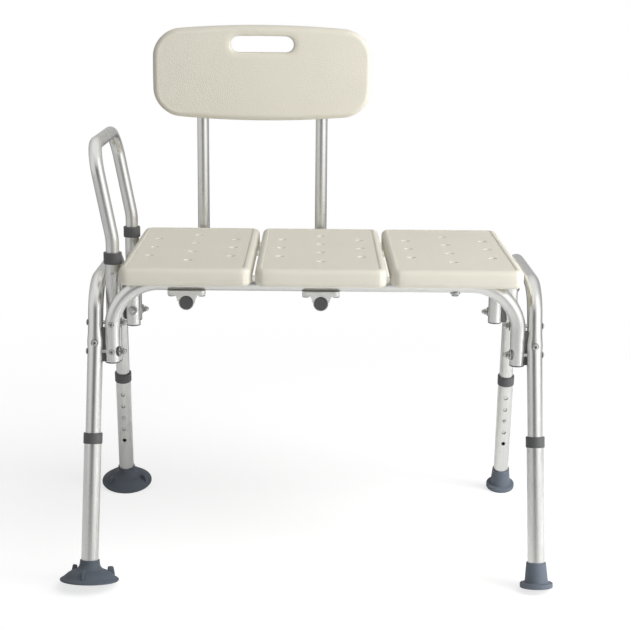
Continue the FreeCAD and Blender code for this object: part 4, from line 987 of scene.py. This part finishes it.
def turned_steel(rows, seat, heading, recess=False):
    """Points and painted shade of rows (radius, height, hexagon, painted shade) in mm, turned from pole to
    pole.

    A hexagon's radius is its half width across flats / cos(angle from the nearest flat). The recess is a
    cross, min(|x|, |y|) < 0.6 mm within 2.6 mm of the middle, sunk 0.9 mm into the head and painted in full
    shade."""
    recess_depth = 0.9 if recess else 0
    rows = np.asarray(rows, float)
    heading = unit(heading)
    first = unit(np.cross(heading, [0.3, 0.2, 1.0]))
    second = np.cross(heading, first)
    angle = np.arange(STEEL_SIDES) * TAU / STEEL_SIDES
    six = 1 / np.cos((angle + TAU / 12) % (TAU / 6) - TAU / 12)
    radius = rows[1:-1, 0, None] * np.where(rows[1:-1, 2, None] > 0, six, 1.0)
    x, y = radius * np.cos(angle), radius * np.sin(angle)
    height = rows[1:-1, 1, None] + 0 * x
    # Painted shade of each row: dark where the part meets another or sinks in.
    dark = rows[1:-1, 3, None] + 0 * x
    # The cross recess is painted in full shade.
    if recess:
        sunk = (np.minimum(np.abs(x), np.abs(y)) < 0.6) & (radius < 2.6) & (height > 0.5)
        height, dark = np.where(sunk, height - recess_depth, height), np.where(sunk, 1.0, dark)
    around = np.stack([x, y, height], -1).reshape(-1, 3)
    poles = [[[0, 0, rows[0, 1]]], [[0, 0, rows[-1, 1] - recess_depth]]]
    local = np.concatenate([poles[0], around, poles[1]]) / 1000
    creases = np.concatenate([[0], dark.reshape(-1), [1.0 if recess else 0]])
    return seat + local @ np.array([first, second, heading]), creases


def pan_head(radius, height, flange, shank):
    """Rows of a screw: its shank, a flange that hugs the tube, and a low round head with a flat top.
    The last value of each row is painted shade: dark on the flange round the tube and in a ring at the
    head's foot.
    """
    rise = height / 2.2
    rows = [(0, -shank, 0), (3, -shank, 0), (3, -2.2, 0), (flange, -2.0, 1), (flange, -0.2, 1),
            (flange - 0.2, 0.25 * rise, 0.5), (radius + 0.5, 0.4 * rise, 0.1),
            (radius + 0.25, 0.45 * rise, 1), (radius, 0.55 * rise, 1), (radius - 0.1, 1.0 * rise, 0.1),
            (radius - 0.5, 1.5 * rise, 0), (radius - 1.1, 1.9 * rise, 0), (3.2, 2.1 * rise, 0),
            (2.8, height, 0.2), (2.5, height, 0.2)]
    rows += [(r, height, 0) for r in (2.1, 1.7, 1.3, 0.9, 0.6, 0.3, 0)]
    return [(r, h, 0, crease) for r, h, crease in rows]


# Rows of a dome nut and of a hollowed washer: radius, height, hexagon and painted shade, dark at the nut's
# foot and waist, at the washer's rims and where the nut sits
NUT = [(0, -0.2, 0, 0), (4.8, -0.2, 1, 1), (5.0, 0.3, 1, 0.6), (5.0, 0.7, 1, 0), (5.0, 4.3, 1, 0),
       (4.8, 4.8, 1, 0.2), (4.4, 5.0, 1, 0.9), (4.2, 5.05, 0, 1), (4.2, 5.5, 0, 0.2), (4.2, 7.0, 0, 0),
       (3.9, 8.3, 0, 0), (3.2, 9.3, 0, 0), (2.2, 9.8, 0, 0), (1.1, 10, 0, 0), (0, 10, 0, 0)]
WASHER_RISE = 1.8
WASHER = [(0, -WASHER_RISE, 0, 0), (8.5, -WASHER_RISE, 0, 1), (8.5, -0.6, 0, 0.8), (8.5, 0, 0, 0),
          (8.5, 0.9, 0, 0), (8.4, 1.3, 0, 0.8), (8.0, 1.7, 0, 0.5), (7.8, WASHER_RISE, 0, 0),
          (6.3, WASHER_RISE, 0, 0), (6.0, 1.7, 0, 0.9), (5.2, 1.7, 0, 1), (0, WASHER_RISE, 0, 1)]


class BENCH_OT_fasteners(bpy.types.Operator):
    """Turn the screws, washers and dome nuts of the frame's joints, with painted shade where they meet"""
    bl_idname = "bench.fasteners"
    bl_label = "Frame fasteners"

    def execute(self, context):
        radius = context.scene.bench_sizes.frame_tube / 2
        groups = {"frame_bolts": [], "cup_washers": [], "dome_nuts": [], "leg_cross_screws": [],
                  "socket_screws": []}
        for end in ENDS.values():
            forward = np.array([0, end, 0.0])
            for side in SIDES.values():
                sideways = np.array([side, 0, 0.0])
                for height in BOLTS:
                    outer = leg_point(side, end, height) + sideways * radius
                    inner = outer.copy()
                    inner[0] = place(side * RAIL_HALF, 0, 0)[0] - side * radius
                    head = pan_head(4.9, 2.8, 5.2, abs(outer[0] - inner[0]) * 1000 + 8)
                    groups["frame_bolts"].append(turned_steel(head, outer, sideways, True))
                    groups["cup_washers"].append(turned_steel(WASHER, inner, -sideways))
                    nut_seat = inner - sideways * WASHER_RISE / 1000
                    groups["dome_nuts"].append(turned_steel(NUT, nut_seat, -sideways))
                seat = leg_point(side, end, CROSS_SCREW) + forward * radius
                head = pan_head(4.8, 2.2, 6.2, 32)
                groups["leg_cross_screws"].append(turned_steel(head, seat, forward, True))
            for height in BOLTS:
                seat = place(-RAIL_HALF, end * RAIL_REACH, height) + forward * radius
                head = pan_head(4.3, 2.2, 5.0, 58)
                groups["socket_screws"].append(turned_steel(head, seat, forward, True))
        for node, solids in groups.items():
            points, creases = (np.stack(part) for part in zip(*solids))
            faces = capped_rings(points.shape[1] // STEEL_SIDES, STEEL_SIDES, len(points))
            piece = finish_mesh(node + "_turned", points, faces, 30.0, crease=creases)
            dress(context, piece, "frame", "fastener_steel", node)
        return {"FINISHED"}


class BENCH_OT_small_parts(bpy.types.Operator):
    """Finish the solids that stay as they are: brackets, spacers, plugs, screws, nuts, washers and clips"""
    bl_idname = "bench.small_parts"
    bl_label = "Small parts"

    def execute(self, context):
        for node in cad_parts:
            if "brackets" in node:
                paint(context, node, "aluminium_plate")
            elif any(word in node for word in ("bolt", "screw", "nut", "washer", "spring", "button")):
                paint(context, node, "fastener_steel")
            elif any(word in node for word in ("plug", "spacer")):
                paint(context, node, "dark_plastic")
        return {"FINISHED"}


# The stage

def hung(columns, spot):
    """The matrix of three directions, as columns, and a place."""
    return Matrix([[*row, s] for row, s in zip(columns, spot)] + [[0, 0, 0, 1]])


class BENCH_OT_stage(bpy.types.Operator):
    """Set the pale floor, the screen that metal mirrors, the soft studio light and the camera"""
    bl_idname = "bench.stage"
    bl_label = "Stage"

    def execute(self, context):
        scene = context.scene
        self.floor(tuple(scene.bench_colours.floor))
        self.reflector()
        self.lights(scene)
        self.camera(scene)
        scene.view_settings.view_transform = "Standard"
        return {"FINISHED"}

    def floor(self, tone):
        """A pale floor that fades to the white of the background two metres out.

        Metal mirrors it darker behind the bench, which gives the tubes their dark edges."""
        corners = np.array([[-9, -7, 0], [9, -7, 0], [9, 14, 0], [-9, 14, 0.0]])
        floor = finish_mesh("floor", corners, [[0, 1, 2, 3]])
        finish = Finish("floor", tone, 0.9, 0.0, **{"Specular IOR Level": 0.0})
        spot = finish.place()
        far = finish.node("ShaderNodeVectorMath", {"operation": "LENGTH"}, {0: spot}).outputs["Value"]
        behind = finish.node("ShaderNodeSeparateXYZ", {}, {0: spot}).outputs[1]
        finish.set(Base_Color=finish.blend(finish.span(behind, 0.7, 1.4), tone, shade(tone, 0.25)))
        fade = finish.span(far, 0.7, 1.9)
        camera_ray = finish.node("ShaderNodeLightPath").outputs["Is Camera Ray"]
        shadowed = finish.node("ShaderNodeBsdfDiffuse", {}, {"Color": (*shade(tone, 0.36), 1)}).outputs[0]
        white = finish.node("ShaderNodeEmission", {}, {"Strength": 0.735}).outputs[0]
        near = finish.node("ShaderNodeAddShader", {}, {0: shadowed, 1: white}).outputs[0]
        clear = finish.node("ShaderNodeEmission", {}, {"Strength": 1.0}).outputs[0]
        seen = finish.node("ShaderNodeMixShader", {}, {0: fade, 1: near, 2: clear}).outputs[0]
        both = finish.node("ShaderNodeMixShader", {}, {0: camera_ray, 1: finish.shader.outputs[0], 2: seen})
        finish.feed(finish.output.inputs[0], both.outputs[0])
        floor.data.materials.append(finish.material)

    def reflector(self):
        """A round screen that only reflections see: its tone changes with the bearing, like studio walls.

        The bearing runs from the front (0) by the right (0.25) to the back (0.5) and the left (0.75)."""
        radius, low, high, sides = 2.2, 0.001, 3.2, 96
        j = np.arange(sides)
        k = (j + 1) % sides
        angle = j * TAU / sides
        ring = np.stack([radius * np.cos(angle), radius * np.sin(angle), 0 * angle], -1)
        points = np.concatenate([ring + [0, 0, low], ring + [0, 0, high]])
        faces = np.stack([j, j + sides, k + sides, k], -1).tolist()
        screen = finish_mesh("reflection_screen", points, faces)
        finish = Finish("reflection_screen", (0.5, 0.5, 0.5), 1.0)
        split = finish.node("ShaderNodeSeparateXYZ", {}, {0: finish.place()})
        bearing = finish.node("ShaderNodeMath", {"operation": "ARCTAN2"}, {
            0: Tone(finish, split.outputs[0]) * -1, 1: split.outputs[1]})
        bearing = Tone(finish, bearing.outputs[0]) / TAU + 0.5
        walls = self.ramp(finish, bearing, (
            (0.0, 0.13), (0.035, 0.42), (0.07, 0.95), (0.11, 1.6), (0.19, 1.6), (0.25, 0.85), (0.31, 0.50),
            (0.38, 0.50), (0.62, 0.50), (0.69, 0.60), (0.75, 0.84), (0.88, 0.90), (0.93, 0.24),
            (0.975, 0.08)))
        skirting = self.ramp(finish, bearing, (
            (0.0, 0.44), (0.1, 0.60), (0.165, 0.88), (0.25, 0.72), (0.36, 0.16), (0.62, 0.16), (0.7, 0.46),
            (0.85, 0.50)))
        rise = finish.span(split.outputs[2], 0.10, 0.50)
        tone = walls * rise + skirting * (1 - rise)
        ceiling = finish.span(split.outputs[2], 1.2, 1.9) * 0.8
        tone = tone.work("MAXIMUM", tone, ceiling)
        glow = finish.node("ShaderNodeEmission", {}, {0: (1, 1, 1, 1), 1: tone})
        finish.feed(finish.output.inputs[0], glow.outputs[0])
        screen.data.materials.append(finish.material)
        screen.visible_camera = screen.visible_diffuse = screen.visible_shadow = False
        screen.visible_transmission = False

    def ramp(self, finish, place, stops):
        """A tone that runs through stops of (place, tone), none of them brighter than 1.7."""
        brightest = 1.7
        node = finish.node("ShaderNodeValToRGB", {}, {0: place})
        while len(node.color_ramp.elements) < len(stops):
            node.color_ramp.elements.new(0.5)
        for element, (spot, tone) in zip(node.color_ramp.elements, stops):
            element.position = spot
            element.color = (*[tone / brightest] * 3, 1)
        return Tone(finish, node.outputs[0]) * brightest

    def lights(self, scene):
        """White to the camera, a softer grey studio to what it lights; a wide sun and two soft boxes.

        Metal mirrors the screen and the white, not the lamps."""
        world = bpy.data.worlds.new("studio")
        scene.world = world
        nodes = Nodes(world)
        ray = nodes.node("ShaderNodeLightPath").outputs
        lit = nodes.node("ShaderNodeBackground", {}, {0: (0.98, 0.99, 1, 1), 1: 0.25})
        seen = nodes.node("ShaderNodeBackground", {}, {0: (1, 1, 1, 1), 1: 1.0})
        shown = nodes.node("ShaderNodeMath", {"operation": "MAXIMUM"}, {
            0: ray["Is Camera Ray"], 1: ray["Is Transmission Ray"]})
        shown = nodes.node("ShaderNodeMath", {"operation": "MAXIMUM"}, {
            0: shown.outputs[0], 1: ray["Is Glossy Ray"]})
        pick = nodes.node("ShaderNodeMixShader", {}, {
            0: shown.outputs[0], 1: lit.outputs[0], 2: seen.outputs[0]})
        nodes.node("ShaderNodeOutputWorld", {}, {0: pick.outputs[0]})
        sun = bpy.data.lights.new("sky_panel", "SUN")
        sun.energy = 1.46
        sun.angle = math.radians(40)
        self.aim(scene, sun, (1.2, -1.0, 2.0), (0, 0, 0))
        for name, energy, spot in (("side_box", 12.2, (1.6, -0.5, 1.4)),
                                   ("low_box", 18.4, (1.7, -0.8, 0.6))):
            box = bpy.data.lights.new(name, "AREA")
            box.shape = "RECTANGLE"
            box.size = 0.8
            box.size_y = 1.2
            box.energy = energy
            self.aim(scene, box, spot, (0, 0, 0.5))

    def aim(self, scene, light, spot, at):
        """Hang a lamp at a spot, turned to a point."""
        lamp = bpy.data.objects.new(light.name, light)
        away = unit(np.array(spot, float) - np.array(at, float))
        right = unit(np.cross([0, 0, 1.0], away))
        up = np.cross(away, right)
        lamp.matrix_world = hung(np.stack([right, up, away], -1), spot)
        lamp.visible_glossy = False
        scene.collection.objects.link(lamp)

    def camera(self, scene):
        """The view that was fitted to the bench's outline: 13.2 degrees down, from 2.49 m in front."""
        data = bpy.data.cameras.new("camera")
        data.lens = 82.41
        data.sensor_width = 36
        data.clip_end = 60
        camera = bpy.data.objects.new("camera", data)
        pitch, yaw, roll = (math.radians(a) for a in (13.174, 0.0375, 0.529))
        right = np.array([math.cos(yaw), -math.sin(yaw), 0])
        ahead = np.array([math.sin(yaw) * math.cos(pitch), math.cos(yaw) * math.cos(pitch),
                          -math.sin(pitch)])
        up = np.cross(right, ahead)
        side = right * math.cos(roll) + up * math.sin(roll)
        high = up * math.cos(roll) - right * math.sin(roll)
        camera.matrix_world = hung(np.stack([side, high, -ahead], -1), (0.00884, -2.4869, 0.9934))
        scene.collection.objects.link(camera)
        scene.camera = camera


class BENCH_PT_sidebar(bpy.types.Panel):
    """The steps that dress the bench, in the 3D view's sidebar"""
    bl_label = "Transfer bench"
    bl_idname = "BENCH_PT_sidebar"
    bl_space_type = "VIEW_3D"
    bl_region_type = "UI"
    bl_category = "Bench"

    def draw(self, context):
        for group in (context.scene.bench_sizes, context.scene.bench_colours):
            column = self.layout.column(align=True)
            for key in group.bl_rna.properties.keys():
                if key not in ("rna_type", "name"):
                    column.prop(group, key)
        for step_class in STEPS:
            self.layout.operator(step_class.bl_idname)


STEPS = (BENCH_OT_seat, BENCH_OT_back, BENCH_OT_frame_tubes, BENCH_OT_handle, BENCH_OT_back_tubes,
         BENCH_OT_legs, BENCH_OT_feet, BENCH_OT_fasteners, BENCH_OT_small_parts, BENCH_OT_stage)
CLASSES = (BenchSizes, BenchColours) + STEPS + (BENCH_PT_sidebar,)


def register():
    for item in CLASSES:
        bpy.utils.register_class(item)
    bpy.types.Scene.bench_sizes = bpy.props.PointerProperty(type=BenchSizes)
    bpy.types.Scene.bench_colours = bpy.props.PointerProperty(type=BenchColours)


def unregister():
    del bpy.types.Scene.bench_colours
    del bpy.types.Scene.bench_sizes
    for item in reversed(CLASSES):
        bpy.utils.unregister_class(item)


def main():
    """Run every step."""
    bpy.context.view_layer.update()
    register()
    for item in STEPS:
        group, name = item.bl_idname.split(".")
        getattr(getattr(bpy.ops, group), name)()


if __name__ == "__main__":
    main()
